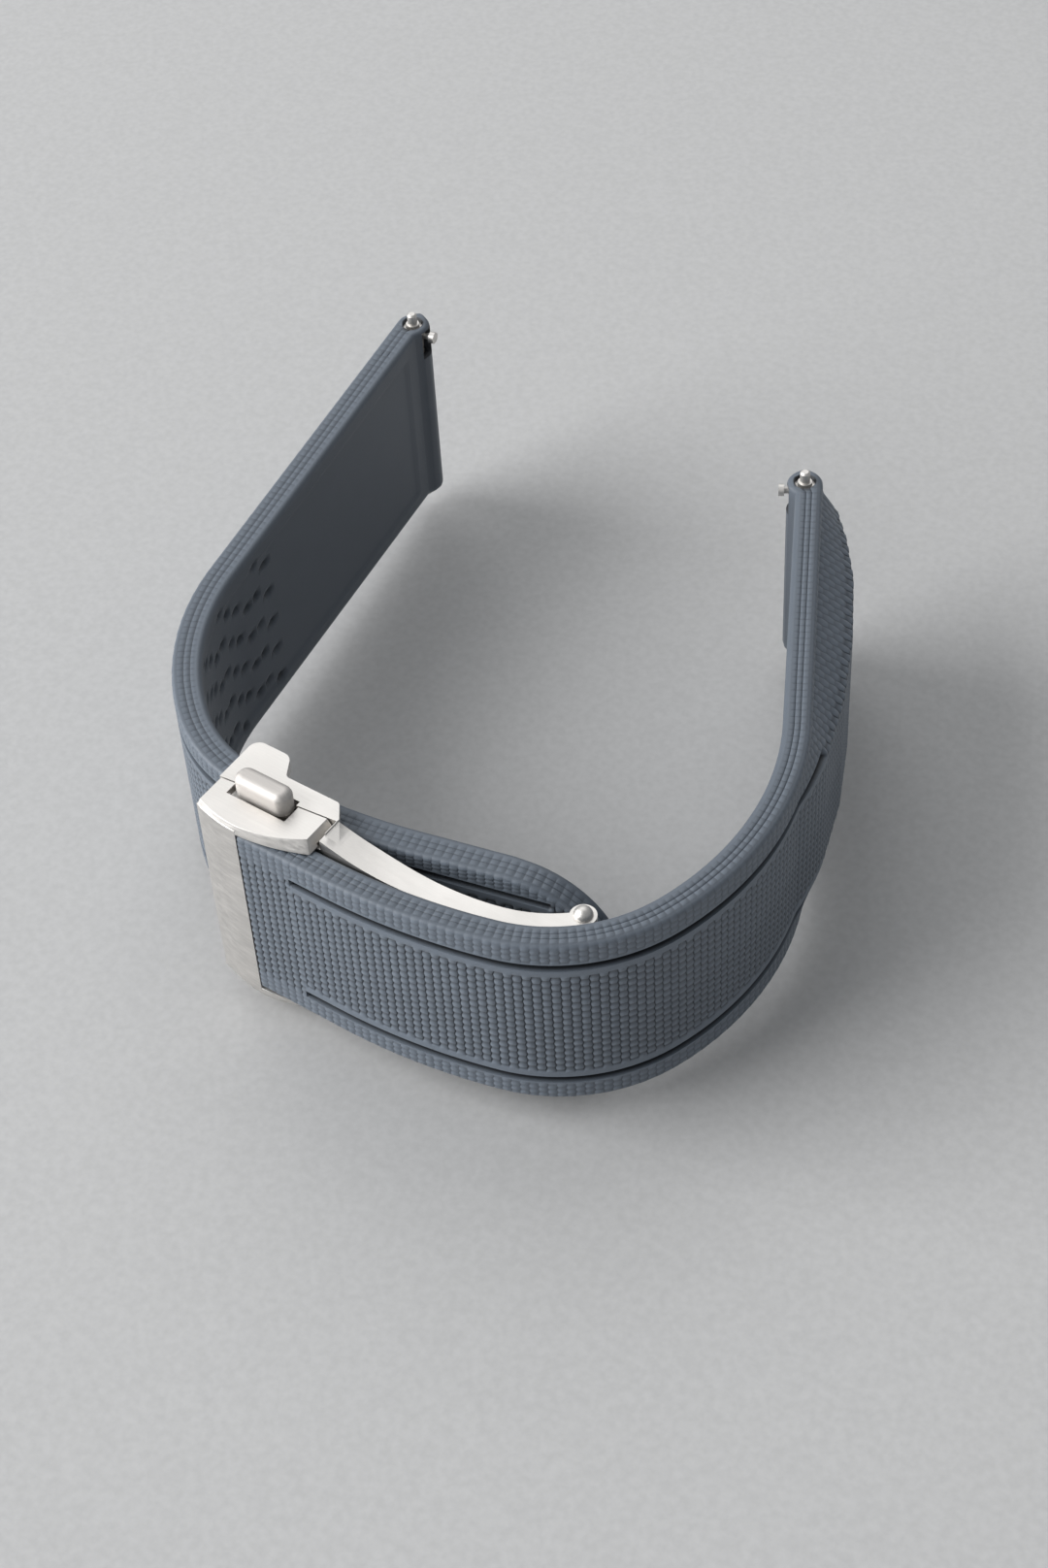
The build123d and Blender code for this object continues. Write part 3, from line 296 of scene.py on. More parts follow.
@dataclass(frozen=True)
class Finish:
    """A surface finish, named for its common name and how the surface was made."""

    name: str

    def material(self) -> bpy.types.Material:
        """Build the finish's material.

        Returns:
            A material of one shader, with the inputs that the finish gives it.
        """
        material = bpy.data.materials.new(self.name)
        material.use_nodes = True
        tree = material.node_tree
        tree.nodes.clear()
        place = add_node(tree, "ShaderNodeTexCoord").outputs["Object"]
        shader = add_node(tree, "ShaderNodeBsdfPrincipled", self.shade(tree, place))
        add_node(tree, "ShaderNodeOutputMaterial", {"Surface": shader.outputs["BSDF"]})
        return material

    def shade(self, tree: bpy.types.NodeTree, place: bpy.types.NodeSocket) -> dict[str, Any]:
        """Add the finish's patterns to the tree, and return the shader's inputs by name."""
        raise NotImplementedError


@dataclass(frozen=True)
class MouldedRubber(Finish):
    """Fluoroelastomer, moulded in steel that was blasted with fine grit."""

    # The eye gets an even slate with a soft, silky sheen and no clear reflection. Hollows, read
    # from the mesh's relief, get painted shade and are darker than crests.
    name: str = "moulded_slate_rubber"
    colour: str = "#67707b"
    # Colour of the painted shade that the hollows are darkened towards.
    hollow_shade_colour: str = "#24282d"
    roughness: float = 0.52
    roughness_reach: float = 0.07
    sheen: float = 0.06
    # The blasted grain is about 0.03 mm across, too fine to show, so it is drawn as 0.12 mm.
    grain: float = 0.12 * MM
    grain_depth: float = 0.02 * MM
    grain_detail: float = 3.0
    grain_reach: float = 0.06
    # Patches where the rubber flowed a little differently.
    mottle: float = 3.0 * MM
    mottle_detail: float = 4.0
    mottle_reach: float = 0.03

    def shade(self, tree: bpy.types.NodeTree, place: bpy.types.NodeSocket) -> dict[str, Any]:
        """Add the grain, the mottling and the painted shade in the hollows.

        Args:
            tree: the material's node tree.
            place: object coordinates.

        Returns:
            The shader's inputs by name.
        """
        relief = add_node(tree, "ShaderNodeAttribute", attribute_name="relief")
        grain = add_node(tree, "ShaderNodeTexNoise", {
            "Vector": place, "Scale": 1 / self.grain, "Detail": self.grain_detail,
        }).outputs["Fac"]
        mottle = add_node(tree, "ShaderNodeTexNoise", {
            "Vector": place, "Scale": 1 / self.mottle, "Detail": self.mottle_detail,
        }).outputs["Fac"]
        # Each of the two patterns gives about half of the colour's value of 1.
        grained, mottled = (
            add_node(tree, "ShaderNodeMapRange", {"Value": noise, **spread(0.5, reach)})
            for noise, reach in ((grain, self.grain_reach), (mottle, self.mottle_reach))
        )
        value = add_node(tree, "ShaderNodeMath", {
            0: grained.outputs["Result"], 1: mottled.outputs["Result"],
        })
        # Painted shade: the relief mixes the dark hollow colour into the rubber's own.
        colour = add_node(tree, "ShaderNodeMix", {
            MIX_FACTOR: relief.outputs["Fac"], MIX_FIRST: linear(self.hollow_shade_colour),
            MIX_SECOND: linear(self.colour),
        }, data_type="RGBA")
        tint = add_node(tree, "ShaderNodeHueSaturation", {
            "Color": colour.outputs[MIX_RESULT], "Value": value.outputs["Value"],
        })
        rough = add_node(tree, "ShaderNodeMapRange", {
            "Value": grain, **spread(self.roughness, self.roughness_reach),
        })
        bump = add_node(tree, "ShaderNodeBump", {
            "Height": grain, "Distance": self.grain_depth, "Strength": BUMP_STRENGTH,
        })
        return {
            "Base Color": tint.outputs["Color"], "Roughness": rough.outputs["Result"],
            "Normal": bump.outputs["Normal"], "Sheen Weight": self.sheen,
        }


@dataclass(frozen=True)
class StainlessSteel(Finish):
    """Stainless steel, brushed with a fine abrasive pad unless its fields say otherwise."""

    # The eye gets broad pale faces with a faint grain, no clear reflection, and bright edges.
    name: str = "brushed_stainless_steel"
    colour: str = "#dfdcd8"
    tone: float = 0.945
    tone_reach: float = 0.105
    roughness: float = 0.46
    roughness_reach: float = 0.1
    # The pad's scratches are about 0.05 mm apart, too fine to show, so they are drawn as 0.26 mm.
    scratch: float = 0.26 * MM
    scratch_depth: float = 0.012 * MM
    scratch_detail: float = 6.0
    scratch_roughness: float = 0.7
    # Handling leaves patches of a little more or less gloss.
    smudge: float = 6.0 * MM
    smudge_detail: float = 3.0
    smudge_reach: float = 0.05
    brushing: Brushing = Brushing.ALONG_STRAP

    def shade(self, tree: bpy.types.NodeTree, place: bpy.types.NodeSocket) -> dict[str, Any]:
        """Add the scratches, which run one way and vary the gloss, and the smudges.

        Args:
            tree: the material's node tree.
            place: object coordinates.

        Returns:
            The shader's inputs by name.
        """
        stretched = add_node(tree, "ShaderNodeMapping", {
            "Vector": place, "Scale": self.brushing.value,
        })
        scratches = add_node(tree, "ShaderNodeTexNoise", {
            "Vector": stretched.outputs["Vector"], "Scale": 1 / self.scratch,
            "Detail": self.scratch_detail, "Roughness": self.scratch_roughness,
        }).outputs["Fac"]
        smudges = add_node(tree, "ShaderNodeTexNoise", {
            "Vector": place, "Scale": 1 / self.smudge, "Detail": self.smudge_detail,
        }).outputs["Fac"]
        smudged, scratched, value = (
            add_node(tree, "ShaderNodeMapRange", {"Value": noise, **spread(middle, reach)})
            for noise, middle, reach in (
                (smudges, 0.0, self.smudge_reach),
                (scratches, self.roughness, self.roughness_reach),
                (scratches, self.tone, self.tone_reach),
            )
        )
        rough = add_node(tree, "ShaderNodeMath", {
            0: smudged.outputs["Result"], 1: scratched.outputs["Result"],
        })
        tint = add_node(tree, "ShaderNodeHueSaturation", {
            "Color": linear(self.colour), "Value": value.outputs["Result"],
        })
        bump = add_node(tree, "ShaderNodeBump", {
            "Height": scratches, "Distance": self.scratch_depth, "Strength": BUMP_STRENGTH,
        })
        return {
            "Base Color": tint.outputs["Color"], "Metallic": 1.0,
            "Roughness": rough.outputs["Value"], "Normal": bump.outputs["Normal"],
        }


@dataclass(frozen=True)
class PaintedFloor(Finish):
    """Board with a coat of matt paint, rolled on."""

    # The eye gets a pale, even ground whose faint stipple keeps it from looking empty.
    name: str = "matt_painted_floor"
    colour: str = "#bababa"
    roughness: float = 0.9
    stipple: float = 0.7 * MM
    stipple_detail: float = 4.0
    stipple_reach: float = 0.05

    def shade(self, tree: bpy.types.NodeTree, place: bpy.types.NodeSocket) -> dict[str, Any]:
        """Add the stipple.

        Args:
            tree: the material's node tree.
            place: object coordinates.

        Returns:
            The shader's inputs by name.
        """
        stipple = add_node(tree, "ShaderNodeTexNoise", {
            "Vector": place, "Scale": 1 / self.stipple, "Detail": self.stipple_detail,
        })
        value = add_node(tree, "ShaderNodeMapRange", {
            "Value": stipple.outputs["Fac"], **spread(1.0, self.stipple_reach),
        })
        tint = add_node(tree, "ShaderNodeHueSaturation", {
            "Color": linear(self.colour), "Value": value.outputs["Result"],
        })
        return {"Base Color": tint.outputs["Color"], "Roughness": self.roughness}


@dataclass(frozen=True)
class WovenRelief:
    """The relief of the rubber: upright cords in staggered stitches, like a coarse cloth."""

    column: float = 0.76 * MM
    stitch: float = 0.78 * MM
    column_depth: float = 0.13 * MM
    stitch_depth: float = 0.075 * MM
    bulge: float = 0.045 * MM
    # Every second column is moved by this share of a stitch.
    stagger: float = 0.5
    # Past this share a stitch slopes down to the next one.
    slope_from: float = 0.5
    # Shares of the depth that are left beyond the line, and to the columns on the narrow side.
    edge_share: float = 0.5
    side_share: float = 0.4
    ribs: int = 3
    rib_depth: float = 0.07 * MM
    # Shares of a column, a stitch and a rib where the mesh has its lines.
    column_shares: tuple[float, ...] = (0.0, 0.1, 0.9)
    stitch_shares: tuple[float, ...] = (0.0, 0.14, 0.5, 0.64)
    rib_shares: tuple[float, ...] = (0.1, 0.5, 0.9, 1.0)

    def height(self, along: float, across: float) -> float:
        """Height of the relief at a place.

        Args:
            along: distance along the strap.
            across: distance across it, from its middle.

        Returns:
            How far the surface lies under the crests, zero or less.
        """
        column = math.floor(along / self.column + ROUNDING)
        row = across / self.stitch + (self.stagger if column % 2 else 0.0)
        in_row = row - math.floor(row + ROUNDING)
        notch = max(self.valley(in_row), ramp(in_row, self.slope_from, 1.0))
        cord = self.valley(along / self.column - column)
        return -max(self.column_depth * cord, self.stitch_depth * notch)

    def shift(self, along: float, across: float) -> float:
        """Sideways bend of the lines between two columns, which lets each stitch bulge."""
        turn = math.cos(math.pi * along / self.column)
        return self.bulge * turn * math.cos(2.0 * math.pi * across / self.stitch)

    def side_height(self, along: float, share: float) -> float:
        """Height of the relief on the narrow side, a share of the way over it, with its ribs."""
        column = self.valley(along / self.column % 1.0) * self.column_depth * self.side_share
        return -max(column, self.valley(share * self.ribs % 1.0) * self.rib_depth)

    def valley(self, place: float) -> float:
        """Depth share between two crests, 1 at the bottom of the narrow valley."""
        return 1.0 - ramp(min(place, 1.0 - place), 0.0, self.column_shares[1])


@dataclass(frozen=True)
class Line:
    """Flat-bottomed line pressed along the strap between its edge and its middle."""

    offset: float = 7.0 * MM
    half_width: float = 0.4 * MM
    bottom: float = 0.24 * MM
    depth: float = 0.75 * MM
    end_slope: float = 0.12 * MM
    plain_inside: float = 1.05 * MM
    plain_outside: float = 0.5 * MM
    # Rows of stitches nearer to the line than this are left out of the mesh.
    gap: float = 0.04 * MM
    # How fast painted shade darkens the rubber towards the bottom.
    shade: float = 2.0

    @property
    def places(self) -> list[float]:
        """Distances from the middle plane where the mesh has a line along it."""
        reaches = (0.0, self.bottom, (self.bottom + self.half_width) / 2, self.half_width)
        return sorted({self.offset + side * reach for reach in reaches for side in (1, -1)})

    def is_clear(self, z: float) -> bool:
        """Whether a row of stitches at a distance from the middle plane stays clear of it."""
        return abs(z - self.offset) > self.half_width + self.gap

    def depth_share(self, z: float) -> float:
        """Share of the line's depth at a distance from the middle plane."""
        return 1.0 - ramp(abs(z - self.offset), self.bottom, self.half_width)

    def is_plain(self, z: float) -> bool:
        """Whether the smooth band along the line reaches a distance from the middle plane."""
        return -self.plain_inside < z - self.offset < self.plain_outside


@dataclass(frozen=True)
class Pits:
    """Pairs of small oval pits in the tail's wrist side."""

    first: float = 32.5 * MM
    row: float = 3.6 * MM
    rows: int = 5
    pitch: float = 3.5 * MM
    stagger: float = 1.25 * MM
    pair_along: float = 0.95 * MM
    pair_across: float = 0.65 * MM
    half_length: float = 0.7 * MM
    half_width: float = 0.42 * MM
    depth: float = 0.45 * MM
    reach: float = 7.0 * MM
    # Shares of a pit's half sizes where its bottom ends and where its rim fades out.
    bottom: float = 0.5
    rim: float = 1.15

    def depth_share(self, along: float, across: float) -> float:
        """Share of the pits' depth at a place on the wrist side.

        Args:
            along: distance from the lug bar.
            across: signed distance from the middle plane.

        Returns:
            1 at the bottom of a pit and 0 outside the pits.
        """
        row = round((along - self.first) / self.row)
        shift = self.stagger * (row % 2)
        centre = round((across - shift) / self.pitch) * self.pitch + shift
        if not 0 <= row < self.rows or abs(centre) > self.reach:
            return 0.0
        out = math.inf
        for side in (1, -1):
            away = (along - self.first - row * self.row - side * self.pair_along) / self.half_length
            aside = (across - centre - side * self.pair_across) / self.half_width
            out = min(out, math.hypot(away, aside))
        return 1.0 - smooth_step(out, self.bottom, self.rim)


@dataclass(frozen=True)
class Spot:
    """A place round the section of a strap half.

    The share is a distance from the middle plane in the outer zone and a share of the way over
    any other. The side is 1 above the middle plane and -1 below it.
    """

    zone: Zone
    share: float
    side: float = 1.0


@dataclass
class RubberHalf:
    """One half of the strap as a mesh, with its relief, line, pits and edges."""

    half: Half
    body: str
    node: str
    route: Route
    thickness: float
    clasp_width: float
    clasp_y: float
    lug_at_end: bool
    line_from: float
    line_to: float
    wrist_steps: int = 10
    relief: WovenRelief = WovenRelief()
    line: Line = Line()
    pits: Pits | None = None
    # The taper goes on past the clasp, up to this share of the way to it.
    taper_limit: float = 1.1
    # Rounding of the edges, at most this share of the thickness.
    outer_round: float = 0.45 * MM
    outer_round_share: float = 0.4
    outer_edge_steps: int = 4
    wrist_round: float = 0.45 * MM
    wrist_round_share: float = 0.3
    wrist_edge_steps: int = 3
    # The wrist side is sunk inside a border, between the two ends of its slope.
    border: float = 1.7 * MM
    border_slope: float = 0.25 * MM
    border_depth: float = 0.16 * MM
    border_ends: tuple[float, float] = (3.0 * MM, 4.0 * MM)
    # The relief fades in past the lug bar, and out near the side's wrist edge.
    relief_start: tuple[float, float] = (-1.0 * MM, 0.6 * MM)
    side_fade: tuple[float, float] = (0.8, 1.0)
    # The lines of so many columns next to the lug don't bend.
    lug_plain_columns: float = 2.0
    # The wrist side and the narrow side get painted shade, as dark as woven rubber of this relief.
    wrist_shade: float = 0.55
    side_shade: float = 0.78
    # Rings round the lug end and the tip. The tip's start before it by a share of its radius.
    end_steps: int = 9
    tip_ring_gap: float = 0.12
    tip_radius: float = 0.0
    # The raised panel. It starts just past the lug bar, by a share of its length, and then has
    # these shares of its height at shares of its length.
    crown_height: float = 0.0
    crown_length: float = 36.0 * MM
    crown_start: float = -0.008
    crown_foot: float = 1.1 * MM
    crown_slope: float = 2.3 * MM
    crown_shares: tuple[tuple[float, float], ...] = ()
    sharp: float = math.radians(75)

    @property
    def widest_flat(self) -> float:
        """Half the width of the flat outer face at the lugs."""
        return LUG_HALF_WIDTH - self.outer_round

    @property
    def crown_edge(self) -> tuple[float, float]:
        """Distances from the middle plane between which the raised panel slopes down."""
        foot = LUG_HALF_WIDTH - self.crown_foot
        return foot - self.crown_slope, foot

    def half_width(self, y: float) -> float:
        """Half the strap's width at a height, which narrows from the lugs to the clasp."""
        share = min(max(y / self.clasp_y, 0.0), self.taper_limit)
        return LUG_HALF_WIDTH + (self.clasp_width / 2 - LUG_HALF_WIDTH) * share

    def from_lug(self, along: float) -> float:
        """Distance from the lug bar along the route."""
        return self.route.length - along if self.lug_at_end else along

    def crown(self, along: float) -> float:
        """Height of the raised panel.

        Args:
            along: distance along the route.

        Returns:
            The height in metres, zero past the panel and on a half without one.
        """
        if not self.crown_shares:
            return 0.0
        share = self.from_lug(along) / self.crown_length
        if share < 0:
            start = ramp(share, self.crown_start, 0.0)
            return self.crown_height * self.crown_shares[0][1] * start
        for (low, low_rise), (high, high_rise) in zip(self.crown_shares, self.crown_shares[1:]):
            if low <= share <= high:
                eased = (share - low) / (high - low)
                return self.crown_height * (low_rise + (high_rise - low_rise) * eased)
        return 0.0

    def depths(self, along: float) -> tuple[float, float]:
        """Depth of the outer and of the wrist side, with the round end about the lug bar.

        Args:
            along: distance along the route, up to one radius past the bar.

        Returns:
            The two depths under the route's line.
        """
        past = -self.from_lug(along)
        if past < -LUG_END_RADIUS:
            return 0.0, self.thickness
        half = math.sqrt(max(LUG_END_RADIUS ** 2 - past ** 2, 0.0))
        if past > 0:
            return LUG_END_RADIUS - half, LUG_END_RADIUS + half
        return 0.0, max(self.thickness, LUG_END_RADIUS + half)

    def stations(self) -> list[float]:
        """Places of the rings along the route, packed where the relief and the ends need it.

        Returns:
            Distances along the route, in order.
        """
        last = self.route.length - self.tip_radius * self.tip_ring_gap
        places = [
            (column + share) * self.relief.column
            for column in range(math.ceil(last / self.relief.column))
            for share in self.relief.column_shares
        ]
        slope = self.line.end_slope
        places += [self.line_from, self.line_from + slope, self.line_to - slope, self.line_to]
        places = sorted(place for place in places if 0.0 < place < last)
        shares = even_shares(self.end_steps)
        past_bar = [LUG_END_RADIUS * math.sin(math.pi / 2 * share) for share in shares]
        if self.lug_at_end:
            places = [0.0, *places, self.route.length]
            places += [self.route.length + past for past in past_bar]
        else:
            places = [*(-past for past in reversed(past_bar)), 0.0, *places]
        if self.tip_radius:
            centre = self.route.length - self.tip_radius
            start = math.acos((places[-1] - centre) / self.tip_radius)
            places += [centre + self.tip_radius * math.cos(start * (1 - s)) for s in shares]
        return places

    def section(self) -> list[Spot]:
        """Places round the section, once round from the middle of the outer face.

        Returns:
            The places above the middle plane, and their like below it on the way back.
        """
        stitch, ribs = self.relief.stitch, self.relief.ribs
        places = [
            (row + share) * stitch
            for row in range(math.ceil(LUG_HALF_WIDTH / stitch))
            for share in self.relief.stitch_shares
        ]
        places = [z for z in places if self.line.is_clear(z) and z < self.widest_flat]
        places += [*self.line.places, self.widest_flat]
        if self.crown_shares:
            places += self.crown_edge
        ribbed = [(rib + share) / ribs for rib in range(ribs) for share in self.relief.rib_shares]
        half = [Spot(zone, share) for zone, shares in (
            (Zone.OUTER, sorted(places)),
            (Zone.OUTER_EDGE, even_shares(self.outer_edge_steps)),
            (Zone.SIDE, ribbed),
            (Zone.WRIST_EDGE, even_shares(self.wrist_edge_steps)),
            (Zone.WRIST, [1.0 - share for share in even_shares(self.wrist_steps)]),
        ) for share in shares]
        return half + [Spot(spot.zone, spot.share, -1.0) for spot in reversed(half)]

    def narrowed(self, place: float, flat: float) -> float:
        """Move a place on the widest flat to its like on a narrower one, beyond the line only.

        Args:
            place: distance from the middle plane on the widest flat.
            flat: half the width of the narrower one.

        Returns:
            Distance from the middle plane on the narrower flat.
        """
        fixed = self.line.offset + self.line.half_width
        if place <= fixed:
            return place
        return fixed + (place - fixed) * (flat - fixed) / (self.widest_flat - fixed)

    def place(self, along: float, spot: Spot) -> tuple[Vector, float]:
        """Find a point of the finished surface.

        Args:
            along: distance along the route.
            spot: place round the section.

        Returns:
            The point and the relief there, from 0 in a hollow to 1 on a crest, which sets the
            painted shade.
        """
        outer, wrist = self.depths(along)
        thick = wrist - outer
        outer_round = min(self.outer_round, thick * self.outer_round_share)
        wrist_round = min(self.wrist_round, thick * self.wrist_round_share)
        middle, _ = self.route.at(along)
        edge = self.half_width(middle.y)
        whole = edge - self.outer_round
        shrink = 1.0
        tip_centre = self.route.length - self.tip_radius
        if self.tip_radius and along > tip_centre:
            shrink = math.sqrt(max(1.0 - ((along - tip_centre) / self.tip_radius) ** 2, 0.0))
            edge = self.tip_radius * shrink
        inset = 0.0
        angle = spot.share * math.pi / 2
        side_start = self.widest_flat + outer_round * math.pi / 2
        if spot.zone is Zone.OUTER:
            z = min(self.narrowed(spot.share, whole), max(edge - outer_round * shrink, 0.0))
            inset = outer_round
            depth = outer
            normal = Vector((-1.0, 0.0))
            girth = spot.share
        elif spot.zone is Zone.OUTER_EDGE:
            inset = outer_round * (1.0 - math.sin(angle))
            depth = outer + outer_round * (1.0 - math.cos(angle))
            z = max(edge - inset * shrink, 0.0)
            normal = Vector((-math.cos(angle), math.sin(angle)))
            girth = self.widest_flat + outer_round * angle
        elif spot.zone is Zone.SIDE:
            depth = outer + outer_round + spot.share * (thick - outer_round - wrist_round)
            z = edge
            normal = Vector((0.0, 1.0))
            girth = side_start + depth - outer - outer_round
        elif spot.zone is Zone.WRIST_EDGE:
            inset = wrist_round * (1.0 - math.cos(angle))
            depth = wrist - wrist_round * (1.0 - math.sin(angle))
            z = max(edge - inset * shrink, 0.0)
            normal = Vector((math.sin(angle), math.cos(angle)))
            girth = side_start + thick
        else:
            inset = wrist_round
            z = spot.share * max(edge - wrist_round * shrink, 0.0)
            depth = wrist
            normal = Vector((1.0, 0.0))
            girth = 0.0
        lift, relief = self.surface(along, spot, z, edge, girth)
        depth += normal.x * lift
        z += normal.y * lift
        if spot.zone is Zone.OUTER and self.is_woven(along, z):
            along += self.relief.shift(along, spot.side * girth)
        if self.tip_radius and along > tip_centre:
            along = tip_centre + (along - tip_centre) * (self.tip_radius - inset) / self.tip_radius
        point, heading = self.route.at(along)
        plan = point + wristward(heading) * depth
        return Vector((plan.x, plan.y, spot.side * z)), relief

    def is_woven(self, along: float, z: float) -> bool:
        """Whether a place on the outer face is woven, and not plain or at the lug or tip.

        Args:
            along: distance along the route.
            z: distance from the middle plane.

        Returns:
            True where the lines between two columns bend.
        """
        plain = self.line.is_plain(z) and self.line_from < along < self.line_to
        inside = self.from_lug(along) > self.lug_plain_columns * self.relief.column
        return inside and not plain and along < self.route.length - self.tip_radius

    def wrist_surface(self, along: float, across: float, edge: float) -> tuple[float, float]:
        """Lift of the wrist side along its normal, and its relief.

        Args:
            along: distance along the route.
            across: signed distance from the middle plane.
            edge: half the width there.

        Returns:
            The lift in metres and the relief from 0 to 1, which sets the painted shade.
        """
        sunk = smooth_step(edge - abs(across), self.border, self.border + self.border_slope)
        sunk *= smooth_step(self.from_lug(along), *self.border_ends)
        if self.tip_radius:
            sunk *= smooth_step(self.route.length - along, *self.border_ends)
        pit = self.pits.depth_share(self.from_lug(along), across) if self.pits else 0.0
        depth = self.border_depth * sunk + (self.pits.depth * pit if self.pits else 0.0)
        # Painted shade: the wrist side is darkened, and each pit is darkened down to the hollow
        # colour at its bottom.
        return -depth, self.wrist_shade * (1.0 - pit)

    def surface(
        self, along: float, spot: Spot, z: float, edge: float, girth: float
    ) -> tuple[float, float]:
        """Lift of the surface along its normal, and its relief, at a place of the section.

        Args:
            along: distance along the route.
            spot: place round the section.
            z: distance from the middle plane.
            edge: half the width there.
            girth: distance round the section from the middle of the outer face.

        Returns:
            The lift in metres and the relief from 0 to 1, which sets the painted shade.
        """
        zone, share = spot.zone, spot.share
        if zone is Zone.WRIST:
            return self.wrist_surface(along, spot.side * z, edge)
        if zone is Zone.WRIST_EDGE:
            # Painted shade halfway between that of the narrow side and that of the wrist side.
            return 0.0, (self.side_shade + self.wrist_shade) / 2
        fade = smooth_step(self.from_lug(along), *self.relief_start)
        if zone is Zone.SIDE:
            fade *= 1.0 - smooth_step(share, *self.side_fade)
        elif z > self.line.offset:
            fade *= self.relief.edge_share
        lift = 0.0
        relief = 1.0
        if zone is Zone.OUTER and self.line.is_plain(z):
            slope = self.line.end_slope
            in_line = ramp(along, self.line_from, self.line_from + slope)
            in_line *= ramp(self.line_to - along, 0.0, slope)
            fade *= 1.0 - in_line
            cut = self.line.depth_share(z) * in_line
            lift -= self.line.depth * cut
            # Painted shade in the line, darkest at its bottom.
            relief -= min(self.line.shade * cut, 1.0)
        if zone is Zone.SIDE:
            drop = self.relief.side_height(along, share)
        else:
            drop = self.relief.height(along, spot.side * girth)
        if zone is Zone.OUTER_EDGE:
            drop = drop * (1.0 - share) ** 2 + self.relief.side_height(along, 0.0) * share ** 2
        lift += drop * fade
        # Painted shade: the deeper the relief, the darker the rubber.
        relief += drop * fade / self.relief.column_depth
        if zone is Zone.OUTER:
            lift += self.crown(along) * (1.0 - ramp(z, *self.crown_edge))
        # Painted shade on the narrow side, growing in over the outer edge.
        side_shaded = {Zone.SIDE: 1.0, Zone.OUTER_EDGE: share}.get(zone, 0.0)
        return lift, max(relief, 0.0) * (1.0 - (1.0 - self.side_shade) * side_shaded)

    def build(self) -> bpy.types.Object:
        """Build the half as one mesh without its openings.

        Returns:
            The object, with the height of its relief in an attribute, which sets the painted shade.
        """
        stations = self.stations()
        loop = self.section()
        mesh = bmesh.new()
        bmesh.ops.create_grid(
            mesh, x_segments=len(stations) - 1, y_segments=len(loop), size=0.5
        )
        # The relief attribute sets the painted shade in the rubber's colour.
        layer = mesh.verts.layers.float.new("relief")
        # The grid runs from -0.5 to 0.5 both ways: x counts the rings and y goes round each.
        for vert in mesh.verts:
            ring = round((vert.co.x + 0.5) * (len(stations) - 1))
            spot = loop[round((vert.co.y + 0.5) * len(loop)) % len(loop)]
            vert.co, vert[layer] = self.place(stations[ring], spot)
        bmesh.ops.remove_doubles(mesh, verts=mesh.verts, dist=LOOSE_WELD)
        close_holes(mesh)
        bmesh.ops.recalc_face_normals(mesh, faces=mesh.faces)
        return finish_mesh(mesh, f"{self.half.value}_half_rubber", self.sharp)


def close_holes(mesh: bmesh.types.BMesh) -> None:
    """Fill every open edge loop of a mesh."""
    bmesh.ops.holes_fill(mesh, edges=[e for e in mesh.edges if e.is_boundary], sides=0)


def add_drill(
    mesh: bmesh.types.BMesh, radius: float, depth: float, segments: int, place: Matrix
) -> None:
    """Add a closed cylinder to a mesh, about the z axis of its place."""
    bmesh.ops.create_cone(
        mesh, cap_ends=True, segments=segments, radius1=radius, radius2=radius, depth=depth,
        matrix=place,
    )


def slice_across(
    mesh: bmesh.types.BMesh, point: tuple[float, float, float],
    normal: tuple[float, float, float], clear: bool = False,
) -> None:
    """Cut a mesh by a plane, and clear what lies beyond it if asked."""
    bmesh.ops.bisect_plane(
        mesh, geom=[*mesh.verts, *mesh.edges, *mesh.faces], dist=WELD, plane_co=point,
        plane_no=normal, clear_outer=clear,
    )


def round_edges(
    mesh: bmesh.types.BMesh, edges: list[bmesh.types.BMEdge], radius: float, segments: int,
    clamp: bool = False,
) -> None:
    """Round some edges of a mesh, by less than asked where they would overlap if clamped."""
    bmesh.ops.bevel(
        mesh, geom=edges, offset=radius, offset_type="OFFSET", affect="EDGES",
        segments=segments, profile=0.5, material=-1, clamp_overlap=clamp,
    )


def link_mesh(mesh: bmesh.types.BMesh, name: str) -> bpy.types.Object:
    """Copy a bmesh to a new object in the scene.

    Args:
        mesh: the bmesh, which is kept.
        name: the object's name.

    Returns:
        The new object.
    """
    data = bpy.data.meshes.new(name)
    mesh.to_mesh(data)
    piece = bpy.data.objects.new(name, data)
    bpy.context.scene.collection.objects.link(piece)
    return piece


def finish_mesh(
    mesh: bmesh.types.BMesh, name: str, sharp: float = math.radians(40)
) -> bpy.types.Object:
    """Turn a bmesh to an object with smooth faces and sharp edges above an angle.

    Args:
        mesh: the bmesh, which is freed.
        name: the object's name.
        sharp: edges that turn by more than this angle, in radians, stay sharp.

    Returns:
        The new object, linked to the scene.
    """
    for face in mesh.faces:
        face.smooth = True
    for edge in mesh.edges:
        edge.smooth = edge.calc_face_angle(0.0) < sharp
    piece = link_mesh(mesh, name)
    mesh.free()
    return piece


def cut_away(piece: bpy.types.Object, cutter: bpy.types.Object) -> None:
    """Cut one piece by another and delete the cutter.

    Args:
        piece: the piece that keeps its place.
        cutter: a closed mesh.
    """
    modifier = piece.modifiers.new("cut", "BOOLEAN")
    modifier.operation = "DIFFERENCE"
    modifier.solver = "EXACT"
    modifier.object = cutter
    bpy.context.view_layer.update()
    result = bpy.data.meshes.new_from_object(
        piece.evaluated_get(bpy.context.evaluated_depsgraph_get())
    )
    piece.modifiers.clear()
    old = piece.data
    piece.data = result
    bpy.data.meshes.remove(old)
    bpy.data.objects.remove(cutter)


